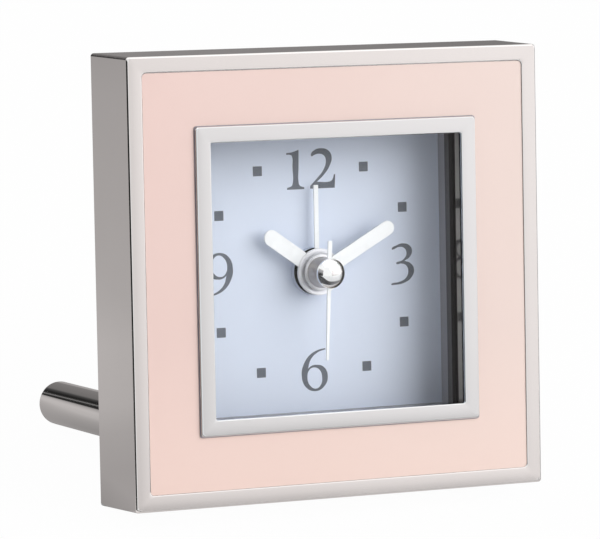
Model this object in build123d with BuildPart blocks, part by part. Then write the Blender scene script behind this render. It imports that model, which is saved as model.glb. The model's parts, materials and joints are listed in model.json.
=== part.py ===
"""Square enamelled table alarm clock that leans back on one rear leg, with its quartz alarm module."""

import os
from math import asin, atan2, cos, degrees, hypot, radians, sin, tan

from build123d import *

os.makedirs("parts", exist_ok=True)

# Driving dimensions, in millimetres and degrees. The case is sized from the cell outward.
# Fits
fit_gap = 0.1
shaft_gap = 0.05
slide_gap = 0.15
overrun = 1.0

# Cell, its contacts and the least half width that the movement needs beside it
cell_diameter = 14.2
cell_length = 49.0
cell_nub_diameter = 5.2
cell_nub_length = 1.3
cell_rim_round = 0.6
cell_gap = 0.3
contact_room = 0.85
movement_half = 26.0
contact_sheet = 0.4
contact_width = 9.0
contact_bump_radius = 2.3

# Module case
module_wall = 1.0
module_corner = 2.0
module_plate = 1.5
module_split = 8.4
tub_step = 1.1
tub_wall = 0.9
flange_width = 1.4
flange_thickness = 1.6
rear_plate = 1.5
rear_edge = 0.8
nose_radius = 4.5
nose_height = 1.5
module_boss_radius = 2.1
module_boss_inset = 2.4
module_boss_rise = 2.5
module_screw_radius = 0.9
module_screw_length = 12.0
module_head_radius = 1.7
module_head_height = 1.0

# Dial and lens
dial_rise = 3.5
dial_thickness = 0.8
lens_thickness = 1.5
lens_ledge = 1.5
lens_clear = 0.7

# Bezel
bezel_sheet = 0.6
bezel_width = 3.1
bezel_proud = 0.5
bezel_lip = 1.1
bezel_skirt = 7.4
bezel_corner = 0.6
bezel_crown = 0.35

# Frame
case_depth = 17.0
side_draft = 1.5
corner_round = 0.9
front_edge_round = 0.5
rim_width = 3.1
enamel_width = 10.3
enamel_corner = 0.8
enamel_recess = 0.9
enamel_sink = 0.15
fence_show = 0.15
fence_drop = 0.1
face_wall = 2.6
side_wall = 2.4
collar_wall = 1.5

# Back plate and its screws
back_plate_thickness = 1.2
plate_screw_inset = 6.6
plate_screw_radius = 1.25
plate_screw_length = 8.0
plate_head_radius = 2.2
plate_head_height = 1.3
plate_boss_wall = 1.4

# Leg
leg_radius = 4.3
leg_length = 44.0
leg_rise = 15.0
leg_clear = 2.7
leg_end_round = 0.4
stud_radius = 2.0
stud_in_leg = 8.0
stud_in_frame = 8.0
leg_boss_wall = 3.2

# Gear teeth, as shares of the module and of the tooth pitch
tip_share = 0.75
root_share = 1.05
root_flank_share = 0.27
tip_flank_share = 0.11

# Wheels: counts, modules and the bearing of each axis from the hands' axis
wheel_width = 0.8
pinion_extra = 0.1
level_gap = 0.35
third_teeth, second_pinion_teeth = 60, 8
centre_teeth, third_pinion_teeth = 64, 8
third_module = 0.2
third_bearing = 60
second_teeth, intermediate_pinion_teeth = 50, 10
second_module = 0.24
intermediate_bearing = 150
intermediate_teeth, rotor_pinion_teeth = 48, 8
rotor_module = 0.2
rotor_bearing = 120
minute_teeth, cannon_teeth = 36, 12
hour_teeth, minute_pinion_teeth = 40, 10
minute_module = 0.3
minute_bearing = -10
alarm_teeth, alarm_pinion_teeth = 40, 20
alarm_module = 0.25
alarm_bearing = 235

# Arbors, pipes and the train plate
arbor_radius = 0.4
second_arbor_radius = 0.5
knob_arbor_radius = 0.6
cannon_wall = 0.55
hour_wall = 0.65
alarm_wall = 0.75
clutch_wall = 0.7
pivot_depth = 0.7
train_plate_thickness = 1.0
train_post_radius = 1.1
train_post_places = ((-11.6, -0.2), (7.0, 12.8), (5.2, -9.2))
bearing_pad = 1.3

# Motor
magnet_radius = 2.5
magnet_length = 2.3
stator_thickness = 0.8
stator_arm = 3.6
stator_air = 0.3
coil_rise = 10.6
coil_span = 18.0
coil_radius = 2.6
coil_core_width = 2.6
coil_core_thickness = 0.9
bobbin_radius = 1.9
bobbin_flange = 0.9
bobbin_flange_radius = 3.0
bobbin_end_gap = 0.5
motor_post_radius = 1.5
pin_radius = 0.6
pole_wall = 1.2

# Electronics and buzzer
board_thickness = 1.0
board_width = 12.0
board_height = 22.0
board_gap = 0.8
board_y = 4.5
crystal_radius = 1.0
crystal_length = 6.0
crystal_offset = (-2.5, 6.0)
chip_radius = 2.6
chip_height = 1.1
chip_offset = (1.0, -4.0)
leaf_sheet = 0.25
leaf_width = 1.8
leaf_foot = 3.0
leaf_bend = 2.5
leaf_touch = (-3.2, -2.6)
buzzer_radius = 7.6
buzzer_height = 3.6
buzzer_gap = 1.2
buzzer_y = 7.6
buzzer_mouth = 1.6
buzzer_edge_round = 0.6
sound_hole_radius = 0.8
sound_ring_radius = 4.0
sound_hole_count = 8

# Hands, stacked at shares of the room between the nose and the second hand
hand_sheet = 0.3
alarm_hand_share = 0.043
hour_hand_share = 0.175
minute_hand_share = 0.38
alarm_hand_length = 16.6
alarm_hand_width = 0.93
alarm_hub_radius = 3.5
alarm_hand_angle = 0
hour_hand_length = 13.5
hour_hand_width = 3.1
hour_hub_radius = 4.5
hour_hub_rise = 0.2
hour_hand_angle = 305.25
minute_hand_length = 17.5
minute_hand_width = 2.8
minute_hub_radius = 3.45
minute_hand_angle = 61
second_hand_length = 16.6
second_hand_tail = 6.2
second_hand_width = 0.85
second_tip_width = 0.5
second_hand_angle = 182.5
sleeve_top_radius = 2.3
sleeve_radius = 3.0
sleeve_gap = 0.3
second_hub_radius = 1.5
cap_radius = 2.8
cap_base = 0.8
cap_dome = 1.1

# Knobs, switch and battery door
knob_radius = 4.5
knob_height = 4.0
knob_gap = 0.5
knob_top = 1.2
knob_rib_count = 20
knob_rib_radius = 0.35
knob_edge = 0.5
switch_x = 12.0
switch_drop = 6.4
switch_travel = 3.0
switch_neck_width = 4.0
switch_neck_height = 2.4
switch_flange = 1.4
switch_flange_thickness = 0.9
switch_thumb_width = 4.6
switch_thumb_height = 4.6
switch_thumb_rise = 1.8
switch_rib_count = 3
switch_rib_width = 0.5
switch_rib_rise = 0.4
door_margin = 1.6
door_height = 14.6
door_slope = 0.6
door_grip_count = 5
door_grip_pitch = 1.5
door_grip_depth = 0.5
door_grip_width = 0.7
door_grip_height = 8.0

# Half widths of the square pieces, from the inside out
cell_half = (cell_length + cell_nub_length) / 2
cavity_half = max(cell_half + contact_room, movement_half)
contact_reach = cavity_half - cell_half
module_half = cavity_half + module_wall
tub_half = module_half + tub_step
flange_half = tub_half + flange_width
dial_pocket_half = tub_half - tub_wall
opening_half = tub_half + fit_gap
skirt_half = opening_half - fit_gap
skirt_inner_half = skirt_half - bezel_sheet
window_half = skirt_inner_half - lens_ledge
bezel_half = window_half + bezel_width
enamel_inner_half = bezel_half + fence_show
enamel_half = bezel_half + enamel_width
front_half = enamel_half + rim_width
back_half = front_half + case_depth * tan(radians(side_draft))
hollow_half = back_half - side_wall

# Levels, measured forward from the frame's rear plane
dial_face = back_plate_thickness + dial_rise
dial_back = dial_face - dial_thickness
plate_back = dial_back - module_plate
rear_inside = plate_back - cell_diameter - 2 * cell_gap
rear_face = rear_inside - rear_plate
split_level = plate_back - module_split
bezel_front = case_depth + bezel_proud
fence_top = case_depth - fence_drop
lip_back = bezel_front - bezel_lip
lens_back = lip_back - lens_thickness
skirt_end = case_depth - bezel_skirt
tub_front = skirt_end - fit_gap
face_inside = case_depth - face_wall
collar_end = back_plate_thickness + flange_thickness
nose_top = dial_face + nose_height
second_hand_level = lens_back - lens_clear - cap_dome - cap_base - hand_sheet
stack_room = second_hand_level - nose_top
alarm_hand_level = nose_top + alarm_hand_share * stack_room
hour_hand_level = nose_top + hour_hand_share * stack_room
minute_hand_level = nose_top + minute_hand_share * stack_room
cap_bottom = second_hand_level + hand_sheet
cap_seat = cap_bottom + cap_base / 2
cap_shoulder = cap_bottom + cap_base
cap_top = cap_shoulder + cap_dome
sleeve_bottom = minute_hand_level + hand_sheet
sleeve_top = second_hand_level - sleeve_gap
sleeve_middle = (sleeve_bottom + sleeve_top) / 2

# Levels of the wheels, from the dial side to the rear
level_step = wheel_width + level_gap
alarm_level = plate_back - level_step
hour_level = alarm_level - level_step
minute_level = hour_level - level_step
centre_level = minute_level - level_step - level_gap
third_level = centre_level - level_step - level_gap
second_level = third_level - level_step - level_gap
intermediate_level = second_level - level_step
magnet_front = intermediate_level - level_gap
magnet_back = magnet_front - magnet_length
stator_level = (magnet_front + magnet_back - stator_thickness) / 2
train_plate_front = magnet_back - level_gap
train_plate_back = train_plate_front - train_plate_thickness
pivot_front = plate_back + pivot_depth
knob_back = rear_face - knob_gap - knob_height
knob_arbor_back = knob_back + knob_top

# Lean of the clock, standing on the frame's rear bottom edge and the round of the leg's end
leg_x = -(module_half + leg_clear + leg_radius)
leg_y = leg_rise - back_half
leg_lift = leg_rise - leg_radius + leg_end_round
leg_run = leg_length - leg_end_round
lean = degrees(atan2(leg_lift, leg_run) - asin(leg_end_round / hypot(leg_lift, leg_run)))
lean_sin, lean_cos = sin(radians(lean)), cos(radians(lean))
front_up = front_half - front_edge_round
front_out = case_depth - front_edge_round
front_reach = front_up * lean_sin + front_out * lean_cos + front_edge_round
rear_reach = (leg_y + leg_radius - leg_end_round) * lean_sin + leg_run * lean_cos + leg_end_round
stance = (0, (front_reach - rear_reach) / 2, back_half * lean_cos)

# Plane of the leaning clock: x to the right, y up the face, z out of the dial
clock = Plane(origin=stance, x_dir=(1, 0, 0), z_dir=(0, -lean_cos, lean_sin))
forward = Axis(stance, clock.z_dir)


def spot(place, level=0):
    """Point of the leaning clock at a place on its face and a level."""
    return clock.from_local_coords(Vector(place[0], place[1], level))


def at(level, place=(0, 0), turn=0):
    """Plane facing out of the dial at a level, moved to a place on the face and turned about it."""
    turned = clock.x_dir * cos(radians(turn)) + clock.y_dir * sin(radians(turn))
    return Plane(origin=spot(place, level), x_dir=turned, z_dir=clock.z_dir)


def across(place=(0, 0)):
    """Plane that cuts the clock from front to back at a place: x to the right, y out of the dial."""
    return Plane(origin=spot(place), x_dir=clock.x_dir, z_dir=-clock.y_dir)


def beside(x, place_y, level):
    """Plane facing right: x up the face, y out of the dial."""
    return Plane(origin=spot((x, place_y), level), x_dir=clock.y_dir, z_dir=clock.x_dir)


def polar(radius, bearing, start=(0, 0)):
    """Place at a radius and bearing from a starting place."""
    return (start[0] + radius * cos(radians(bearing)), start[1] + radius * sin(radians(bearing)))


def square(half, corner=0, mode=Mode.ADD):
    """Centred square of a half width, with rounded corners if asked."""
    if corner:
        RectangleRounded(2 * half, 2 * half, corner, mode=mode)
    else:
        Rectangle(2 * half, 2 * half, mode=mode)


def toothed(teeth, module, phase):
    """Face of a toothed wheel with one tooth centred on the phase angle."""
    pitch_radius = module * teeth / 2
    tip = pitch_radius + tip_share * module
    root = pitch_radius - root_share * module
    rising = ((root, -root_flank_share), (tip, -tip_flank_share))
    falling = ((tip, tip_flank_share), (root, root_flank_share))
    outline = []
    for tooth in range(teeth):
        for radius, share in rising + falling:
            outline.append(polar(radius, phase + (tooth + share) * 360 / teeth))
    Polygon(*outline, align=None)


def meshed_phase(teeth, bearing, mate_teeth):
    """Phase that gives the mate a gap where a wheel of phase zero has a tooth near the bearing."""
    lag = bearing % (360 / teeth)
    return bearing + 180 + (lag * teeth + 180) / mate_teeth


def wheel_on_arbor(place, gears, radius, back, front):
    """Arbor with its toothed wheels, each given as teeth, module, phase, level and width."""
    with BuildPart() as wheel:
        for teeth, module, phase, level, width in gears:
            with BuildSketch(at(level, place)):
                toothed(teeth, module, phase)
            extrude(amount=width)
        with BuildSketch(at(back, place)):
            Circle(radius)
        extrude(amount=front - back)
    return wheel.part


def wheel_on_pipe(gear, bore, radius, back, front):
    """Toothed wheel on a pipe round the hands' axis."""
    teeth, module, phase, level, width = gear
    with BuildPart() as wheel:
        with BuildSketch(at(level)):
            toothed(teeth, module, phase)
        extrude(amount=width)
        with BuildSketch(at(back)):
            Circle(radius)
        extrude(amount=front - back)
        with BuildSketch(at(back)):
            Circle(bore)
        extrude(amount=front - back, mode=Mode.SUBTRACT)
    return wheel.part


def screws(places, seat, length, radius, head_radius, head_height):
    """Pan-head screws driven forward from a seat level at each place."""
    with BuildPart() as group:
        with BuildSketch(at(seat)):
            with Locations(*places):
                Circle(radius)
        extrude(amount=length)
        with BuildSketch(at(seat)):
            with Locations(*places):
                Circle(head_radius)
        extrude(amount=-head_height)
        fillet(group.edges().group_by(forward)[0], head_height / 2)
    return group.part


def knob(place):
    """Finger knob pushed onto the rear end of an arbor."""
    with BuildPart() as turned:
        with BuildSketch(at(knob_back, place)):
            Circle(knob_radius)
        extrude(amount=knob_height)
        chamfer(turned.edges().group_by(forward)[0], knob_edge)
        with BuildSketch(at(knob_back, place)):
            with PolarLocations(knob_radius, knob_rib_count):
                Circle(knob_rib_radius)
        extrude(amount=knob_height, mode=Mode.SUBTRACT)
        with BuildSketch(at(knob_arbor_back, place)):
            Circle(knob_arbor_radius)
        extrude(amount=knob_height, mode=Mode.SUBTRACT)
    return turned.part


def contact(side):
    """Contact strip at one end of the cell, with the bump that presses on it."""
    with BuildPart() as strip:
        with BuildSketch(beside(side * cavity_half, cell_y, cell_level)):
            Rectangle(contact_width, contact_width)
        extrude(amount=-side * contact_sheet)
        with BuildSketch(beside(side * (cavity_half - contact_sheet), cell_y, cell_level)):
            Circle(contact_bump_radius)
        extrude(amount=-side * (contact_reach - contact_sheet))
    return strip.part


def finish(piece, name):
    """Label a piece and write it out."""
    piece.label = name
    export_step(piece, f"parts/{name}.step")


# Places of the axes on the face
third_distance = third_module * (third_teeth + second_pinion_teeth) / 2
centre_module = 2 * third_distance / (centre_teeth + third_pinion_teeth)
third_place = polar(third_distance, third_bearing)
intermediate_distance = second_module * (second_teeth + intermediate_pinion_teeth) / 2
intermediate_place = polar(intermediate_distance, intermediate_bearing)
rotor_distance = rotor_module * (intermediate_teeth + rotor_pinion_teeth) / 2
rotor_place = polar(rotor_distance, rotor_bearing, intermediate_place)
minute_distance = minute_module * (minute_teeth + cannon_teeth) / 2
hour_module = 2 * minute_distance / (hour_teeth + minute_pinion_teeth)
minute_place = polar(minute_distance, minute_bearing)
alarm_distance = alarm_module * (alarm_teeth + alarm_pinion_teeth) / 2
alarm_place = polar(alarm_distance, alarm_bearing)
cell_y = cell_gap + cell_diameter / 2 - cavity_half
cell_level = plate_back - cell_gap - cell_diameter / 2
board_place = (board_gap + board_width / 2 - cavity_half, board_y)
buzzer_place = (cavity_half - buzzer_gap - buzzer_radius, buzzer_y)
switch_place = (switch_x, cavity_half - switch_drop)
coil_y = rotor_place[1] + coil_rise
coil_level = stator_level - coil_core_thickness / 2
coil_ends = ((rotor_place[0] - coil_span / 2, coil_y), (rotor_place[0] + coil_span / 2, coil_y))

# Radii of the pipes nested round the hands' axis
cannon_bore = second_arbor_radius + shaft_gap
cannon_radius = cannon_bore + cannon_wall
hour_bore = cannon_radius + shaft_gap
hour_radius = hour_bore + hour_wall
alarm_bore = hour_radius + shaft_gap
alarm_radius = alarm_bore + alarm_wall
nose_bore = alarm_radius + shaft_gap
pinion_width = wheel_width + 2 * pinion_extra

# Screw places
boss_x = cavity_half - module_boss_inset
boss_low = cell_y + cell_diameter / 2 + module_boss_rise
module_bosses = ((-boss_x, boss_x), (boss_x, boss_x), (-boss_x, boss_low), (boss_x, boss_low))
plate_screw_x = back_half - plate_screw_inset
plate_screw_spacing = 2 * plate_screw_x

# Frame: drafted shell, hollow from behind, with a collar round the module and bosses for screws and leg
with BuildPart() as frame:
    with BuildSketch(at(0)):
        square(back_half, corner_round)
    extrude(amount=case_depth, taper=side_draft)
    fillet(frame.faces().sort_by(forward)[-1].edges(), front_edge_round)
    with BuildSketch(at(0)):
        square(hollow_half)
    extrude(amount=face_inside, taper=side_draft, mode=Mode.SUBTRACT)
    with BuildSketch(at(collar_end)):
        square(opening_half + collar_wall)
    extrude(amount=face_inside - collar_end)
    with BuildSketch(at(back_plate_thickness)):
        with GridLocations(plate_screw_spacing, plate_screw_spacing, 2, 2):
            Circle(plate_screw_radius + plate_boss_wall)
        with Locations((leg_x, leg_y)):
            Circle(stud_radius + leg_boss_wall)
    extrude(amount=face_inside - back_plate_thickness)
    with BuildSketch(at(case_depth - enamel_recess)):
        square(enamel_half, enamel_corner)
        square(enamel_inner_half, bezel_corner, Mode.SUBTRACT)
    extrude(amount=enamel_recess, mode=Mode.SUBTRACT)
    with BuildSketch(at(fence_top)):
        square(enamel_inner_half)
    extrude(amount=fence_drop, mode=Mode.SUBTRACT)
    with BuildSketch(at(0)):
        square(opening_half)
    extrude(amount=case_depth, mode=Mode.SUBTRACT)
    with BuildSketch(at(0)):
        square(flange_half + fit_gap)
    extrude(amount=collar_end, mode=Mode.SUBTRACT)
    with BuildSketch(at(back_plate_thickness)):
        with GridLocations(plate_screw_spacing, plate_screw_spacing, 2, 2):
            Circle(plate_screw_radius + shaft_gap)
    extrude(amount=plate_screw_length, mode=Mode.SUBTRACT)
    with BuildSketch(at(back_plate_thickness)):
        with Locations((leg_x, leg_y)):
            Circle(stud_radius + shaft_gap)
    extrude(amount=stud_in_frame, mode=Mode.SUBTRACT)
finish(frame.part, "frame")

# Enamel band filling the frame's recess
with BuildPart() as enamel_panel:
    with BuildSketch(at(case_depth - enamel_recess)):
        square(enamel_half, enamel_corner)
        square(enamel_inner_half, bezel_corner, Mode.SUBTRACT)
    extrude(amount=enamel_recess - enamel_sink)
finish(enamel_panel.part, "enamel_panel")

# Bezel: crowned flange on the fence, a lip over the lens and a skirt down the opening
with BuildPart() as bezel:
    with BuildSketch(at(fence_top)):
        square(bezel_half, bezel_corner)
        square(window_half, mode=Mode.SUBTRACT)
    extrude(amount=bezel_front - fence_top)
    fillet(bezel.faces().sort_by(forward)[-1].edges(), bezel_crown)
    with BuildSketch(at(lip_back)):
        square(skirt_half)
        square(window_half, mode=Mode.SUBTRACT)
    extrude(amount=fence_top - lip_back)
    with BuildSketch(at(skirt_end)):
        square(skirt_half)
        square(skirt_inner_half, mode=Mode.SUBTRACT)
    extrude(amount=lip_back - skirt_end)
finish(bezel.part, "bezel")

# Lens behind the lip
with BuildPart() as lens:
    with BuildSketch(at(lens_back)):
        square(skirt_inner_half - fit_gap)
    extrude(amount=lens_thickness)
finish(lens.part, "lens")

# Dial round the nose of the module
with BuildPart() as dial:
    with BuildSketch(at(dial_back)):
        square(dial_pocket_half - fit_gap)
        Circle(nose_radius + fit_gap, mode=Mode.SUBTRACT)
    extrude(amount=dial_thickness)
finish(dial.part, "dial")

# Module case: dial tub with a clamping flange, front plate with the nose, walls and posts behind it
with BuildPart() as module_case:
    with BuildSketch(at(back_plate_thickness)):
        square(tub_half)
    extrude(amount=tub_front - back_plate_thickness)
    with BuildSketch(at(back_plate_thickness)):
        square(flange_half)
    extrude(amount=flange_thickness)
    with BuildSketch(at(split_level)):
        square(module_half, module_corner)
    extrude(amount=back_plate_thickness - split_level)
    with BuildSketch(at(dial_back)):
        square(dial_pocket_half)
    extrude(amount=tub_front - dial_back, mode=Mode.SUBTRACT)
    with BuildSketch(at(split_level)):
        square(cavity_half)
    extrude(amount=plate_back - split_level, mode=Mode.SUBTRACT)
    with BuildSketch(at(dial_back)):
        Circle(nose_radius)
    extrude(amount=nose_top - dial_back)
    with BuildSketch(at(split_level)):
        with Locations(*module_bosses):
            Circle(module_boss_radius)
    extrude(amount=plate_back - split_level)
    with BuildSketch(at(train_plate_front)):
        with Locations(*train_post_places):
            Circle(train_post_radius)
    extrude(amount=plate_back - train_plate_front)
    with BuildSketch(at(stator_level + stator_thickness)):
        with Locations(*coil_ends):
            Circle(motor_post_radius)
    extrude(amount=plate_back - stator_level - stator_thickness)
    with BuildSketch(at(stator_level - coil_core_thickness)):
        with Locations(*coil_ends):
            Circle(pin_radius)
    extrude(amount=stator_thickness + coil_core_thickness)
    with BuildSketch(at(plate_back)):
        Circle(nose_bore)
    extrude(amount=nose_top - plate_back, mode=Mode.SUBTRACT)
    with BuildSketch(at(plate_back)):
        with Locations(third_place, intermediate_place, rotor_place):
            Circle(arbor_radius + shaft_gap)
        with Locations(minute_place, alarm_place):
            Circle(knob_arbor_radius + shaft_gap)
    extrude(amount=pivot_depth + shaft_gap, mode=Mode.SUBTRACT)
    with BuildSketch(at(split_level)):
        with Locations(*module_bosses):
            Circle(module_screw_radius + shaft_gap)
    extrude(amount=module_screw_length - (split_level - rear_face) + fit_gap, mode=Mode.SUBTRACT)
finish(module_case.part, "module_case")

# Rear cover with the arbor holes, sound holes, switch slot and the dovetailed way of the battery door
door_left = cavity_half - door_margin
switch_slot = switch_neck_width + switch_travel + 2 * slide_gap
switch_middle = (switch_place[0] + switch_travel / 2, switch_place[1])
with BuildPart() as rear_cover:
    with BuildSketch(at(rear_face)):
        square(module_half, module_corner)
    extrude(amount=split_level - rear_face)
    with BuildSketch(at(rear_inside)):
        square(cavity_half)
    extrude(amount=split_level - rear_inside, mode=Mode.SUBTRACT)
    chamfer(rear_cover.faces().sort_by(forward)[0].outer_wire().edges(), rear_edge)
    with BuildSketch(at(rear_inside)):
        with Locations(*module_bosses):
            Circle(module_boss_radius)
    extrude(amount=split_level - rear_inside)
    with BuildSketch(at(rear_face)):
        with Locations(*module_bosses):
            Circle(module_screw_radius + shaft_gap)
    extrude(amount=split_level - rear_face, mode=Mode.SUBTRACT)
    with BuildSketch(at(rear_face)):
        with Locations(minute_place, alarm_place):
            Circle(knob_arbor_radius + shaft_gap)
        with Locations(switch_middle):
            Rectangle(switch_slot, switch_neck_height + 2 * slide_gap)
        with Locations(buzzer_place):
            Circle(sound_hole_radius)
            with PolarLocations(sound_ring_radius, sound_hole_count):
                Circle(sound_hole_radius)
    extrude(amount=rear_plate, mode=Mode.SUBTRACT)
    with BuildSketch(beside(-door_left, cell_y, rear_face)):
        with BuildLine():
            Polyline(
                (-door_height / 2 + door_slope - slide_gap, 0),
                (door_height / 2 - door_slope + slide_gap, 0),
                (door_height / 2 + slide_gap, rear_plate),
                (-door_height / 2 - slide_gap, rear_plate),
                close=True,
            )
        make_face()
    extrude(amount=door_left + module_half + overrun, mode=Mode.SUBTRACT)
finish(rear_cover.part, "rear_cover")

# Battery door: dovetailed slide with finger grooves
with BuildPart() as battery_door:
    with BuildSketch(beside(-door_left + slide_gap, cell_y, rear_face)):
        with BuildLine():
            Polyline(
                (-door_height / 2 + door_slope, 0),
                (door_height / 2 - door_slope, 0),
                (door_height / 2, rear_plate),
                (-door_height / 2, rear_plate),
                close=True,
            )
        make_face()
    extrude(amount=door_left - slide_gap + cavity_half + module_wall / 2)
    with BuildSketch(at(rear_face, (door_left - door_grip_pitch * door_grip_count, cell_y))):
        with GridLocations(door_grip_pitch, 0, door_grip_count, 1):
            Rectangle(door_grip_width, door_grip_height)
    extrude(amount=door_grip_depth, mode=Mode.SUBTRACT)
finish(battery_door.part, "battery_door")

# Alarm switch: thumb piece, neck through the slot and a flange inside
with BuildPart() as alarm_switch:
    with BuildSketch(at(rear_inside + fit_gap, switch_place)):
        Rectangle(switch_neck_width + 2 * switch_flange, switch_neck_height + 2 * switch_flange)
    extrude(amount=switch_flange_thickness)
    with BuildSketch(at(rear_face - fit_gap, switch_place)):
        Rectangle(switch_neck_width, switch_neck_height)
    extrude(amount=rear_plate + 2 * fit_gap)
    with BuildSketch(at(rear_face - fit_gap, switch_place)):
        Rectangle(switch_thumb_width, switch_thumb_height)
    extrude(amount=-switch_thumb_rise)
    with BuildSketch(at(rear_face - fit_gap - switch_thumb_rise, switch_place)):
        with GridLocations(switch_thumb_width / switch_rib_count, 0, switch_rib_count, 1):
            Rectangle(switch_rib_width, switch_thumb_height)
    extrude(amount=-switch_rib_rise)
finish(alarm_switch.part, "alarm_switch")

# Train plate that carries the rear pivots, resting on the posts
left_post, top_post, low_post = train_post_places
train_corners = (left_post, alarm_place, low_post, minute_place, top_post, rotor_place)
with BuildPart() as train_plate:
    with BuildSketch(at(train_plate_back)):
        Polygon(*train_corners, align=None)
        offset(amount=bearing_pad)
        Circle(second_arbor_radius + shaft_gap, mode=Mode.SUBTRACT)
        with Locations(third_place, intermediate_place, rotor_place):
            Circle(arbor_radius + shaft_gap, mode=Mode.SUBTRACT)
        with Locations(minute_place, alarm_place):
            Circle(knob_arbor_radius + shaft_gap, mode=Mode.SUBTRACT)
    extrude(amount=train_plate_thickness)
finish(train_plate.part, "train_plate")

# Back plate clamping the module's flange against the frame's collar
with BuildPart() as back_plate:
    with BuildSketch(at(0)):
        square(hollow_half - fit_gap)
    extrude(amount=back_plate_thickness, taper=side_draft)
    with BuildSketch(at(0)):
        square(module_half + fit_gap, module_corner)
        with GridLocations(plate_screw_spacing, plate_screw_spacing, 2, 2):
            Circle(plate_screw_radius + shaft_gap)
        with Locations((leg_x, leg_y)):
            Circle(stud_radius + shaft_gap)
    extrude(amount=back_plate_thickness, mode=Mode.SUBTRACT)
finish(back_plate.part, "back_plate")

plate_screw_places = [(plate_screw_x * i, plate_screw_x * j) for i in (-1, 1) for j in (-1, 1)]
back_plate_screws = screws(
    plate_screw_places, 0, plate_screw_length, plate_screw_radius, plate_head_radius, plate_head_height
)
finish(back_plate_screws, "back_plate_screws")
module_screws = screws(
    module_bosses, rear_face, module_screw_length, module_screw_radius, module_head_radius, module_head_height
)
finish(module_screws, "module_screws")

# Leg on its stud, square to the back
with BuildPart() as leg:
    with BuildSketch(at(-leg_length, (leg_x, leg_y))):
        Circle(leg_radius)
    extrude(amount=leg_length)
    fillet(leg.edges().group_by(forward)[0], leg_end_round)
    with BuildSketch(at(-stud_in_leg, (leg_x, leg_y))):
        Circle(stud_radius + shaft_gap)
    extrude(amount=stud_in_leg, mode=Mode.SUBTRACT)
finish(leg.part, "leg")

with BuildPart() as leg_stud:
    with BuildSketch(at(fit_gap - stud_in_leg, (leg_x, leg_y))):
        Circle(stud_radius)
    extrude(amount=stud_in_leg + back_plate_thickness + stud_in_frame - 2 * fit_gap)
finish(leg_stud.part, "leg_stud")

# Cell and contacts
with BuildPart() as battery:
    with BuildSketch(beside(contact_reach - cavity_half, cell_y, cell_level)):
        Circle(cell_diameter / 2)
    extrude(amount=cell_length)
    fillet(battery.edges(), cell_rim_round)
    with BuildSketch(beside(contact_reach - cavity_half + cell_length, cell_y, cell_level)):
        Circle(cell_nub_diameter / 2)
    extrude(amount=cell_nub_length)
finish(battery.part, "battery")
finish(contact(1), "battery_contact_plus")
finish(contact(-1), "battery_contact_minus")

# Circuit board with its crystal, chip and the leaf that feels the hour wheel
board_back = plate_back - board_thickness
with BuildPart() as circuit_board:
    with BuildSketch(at(board_back, board_place)):
        Rectangle(board_width, board_height)
    extrude(amount=board_thickness)
finish(circuit_board.part, "circuit_board")

crystal_place = (board_place[0] + crystal_offset[0], board_place[1] + crystal_offset[1])
crystal_middle = spot(crystal_place, board_back - crystal_radius)
with BuildPart() as quartz_crystal:
    with BuildSketch(Plane(origin=crystal_middle, x_dir=clock.x_dir, z_dir=clock.y_dir)):
        Circle(crystal_radius)
    extrude(amount=crystal_length / 2, both=True)
finish(quartz_crystal.part, "quartz_crystal")

chip_place = (board_place[0] + chip_offset[0], board_place[1] + chip_offset[1])
with BuildPart() as chip:
    with BuildSketch(at(board_back, chip_place)):
        Circle(chip_radius)
    extrude(amount=-chip_height)
    fillet(chip.edges().group_by(forward)[0], chip_height / 2)
finish(chip.part, "chip")

leaf_start = board_place[0] + board_width / 2 - leaf_foot
leaf_corner = leaf_start + leaf_foot
leaf_foot_level = board_back - leaf_sheet / 2
leaf_level = hour_level - (level_gap + leaf_sheet) / 2
with BuildPart() as alarm_contact:
    with BuildSketch(across((0, leaf_touch[1]))):
        with BuildLine():
            Polyline(
                (leaf_start, leaf_foot_level),
                (leaf_corner, leaf_foot_level),
                (leaf_corner + leaf_bend, leaf_level),
                (leaf_touch[0], leaf_level),
            )
        trace(line_width=leaf_sheet)
    extrude(amount=leaf_width / 2, both=True)
finish(alarm_contact.part, "alarm_contact")

# Buzzer on the rear cover, its mouth over the sound holes
with BuildPart() as buzzer:
    with BuildSketch(at(rear_inside, buzzer_place)):
        Circle(buzzer_radius)
    extrude(amount=buzzer_height)
    fillet(buzzer.edges().group_by(forward)[-1], buzzer_edge_round)
    with BuildSketch(at(rear_inside, buzzer_place)):
        Circle(sound_ring_radius + 2 * sound_hole_radius)
    extrude(amount=buzzer_mouth, mode=Mode.SUBTRACT)
finish(buzzer.part, "buzzer")

# Stepping motor: stator, coil and rotor
with BuildPart() as stator:
    with BuildSketch(at(stator_level)):
        with Locations(rotor_place):
            Rectangle(coil_span + stator_arm, 2 * (magnet_radius + stator_air + pole_wall))
        for end in coil_ends:
            with Locations((end[0], (rotor_place[1] + coil_y + stator_arm / 2) / 2)):
                Rectangle(stator_arm, coil_rise + stator_arm / 2)
        with Locations(rotor_place):
            Circle(magnet_radius + stator_air, mode=Mode.SUBTRACT)
        with Locations(*coil_ends):
            Circle(pin_radius + shaft_gap, mode=Mode.SUBTRACT)
    extrude(amount=stator_thickness)
finish(stator.part, "stator")

with BuildPart() as coil_core:
    with BuildSketch(at(stator_level - coil_core_thickness)):
        with Locations((rotor_place[0], coil_y)):
            Rectangle(coil_span + stator_arm, coil_core_width)
        with Locations(*coil_ends):
            Circle(pin_radius + shaft_gap, mode=Mode.SUBTRACT)
    extrude(amount=coil_core_thickness)
finish(coil_core.part, "coil_core")

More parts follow.
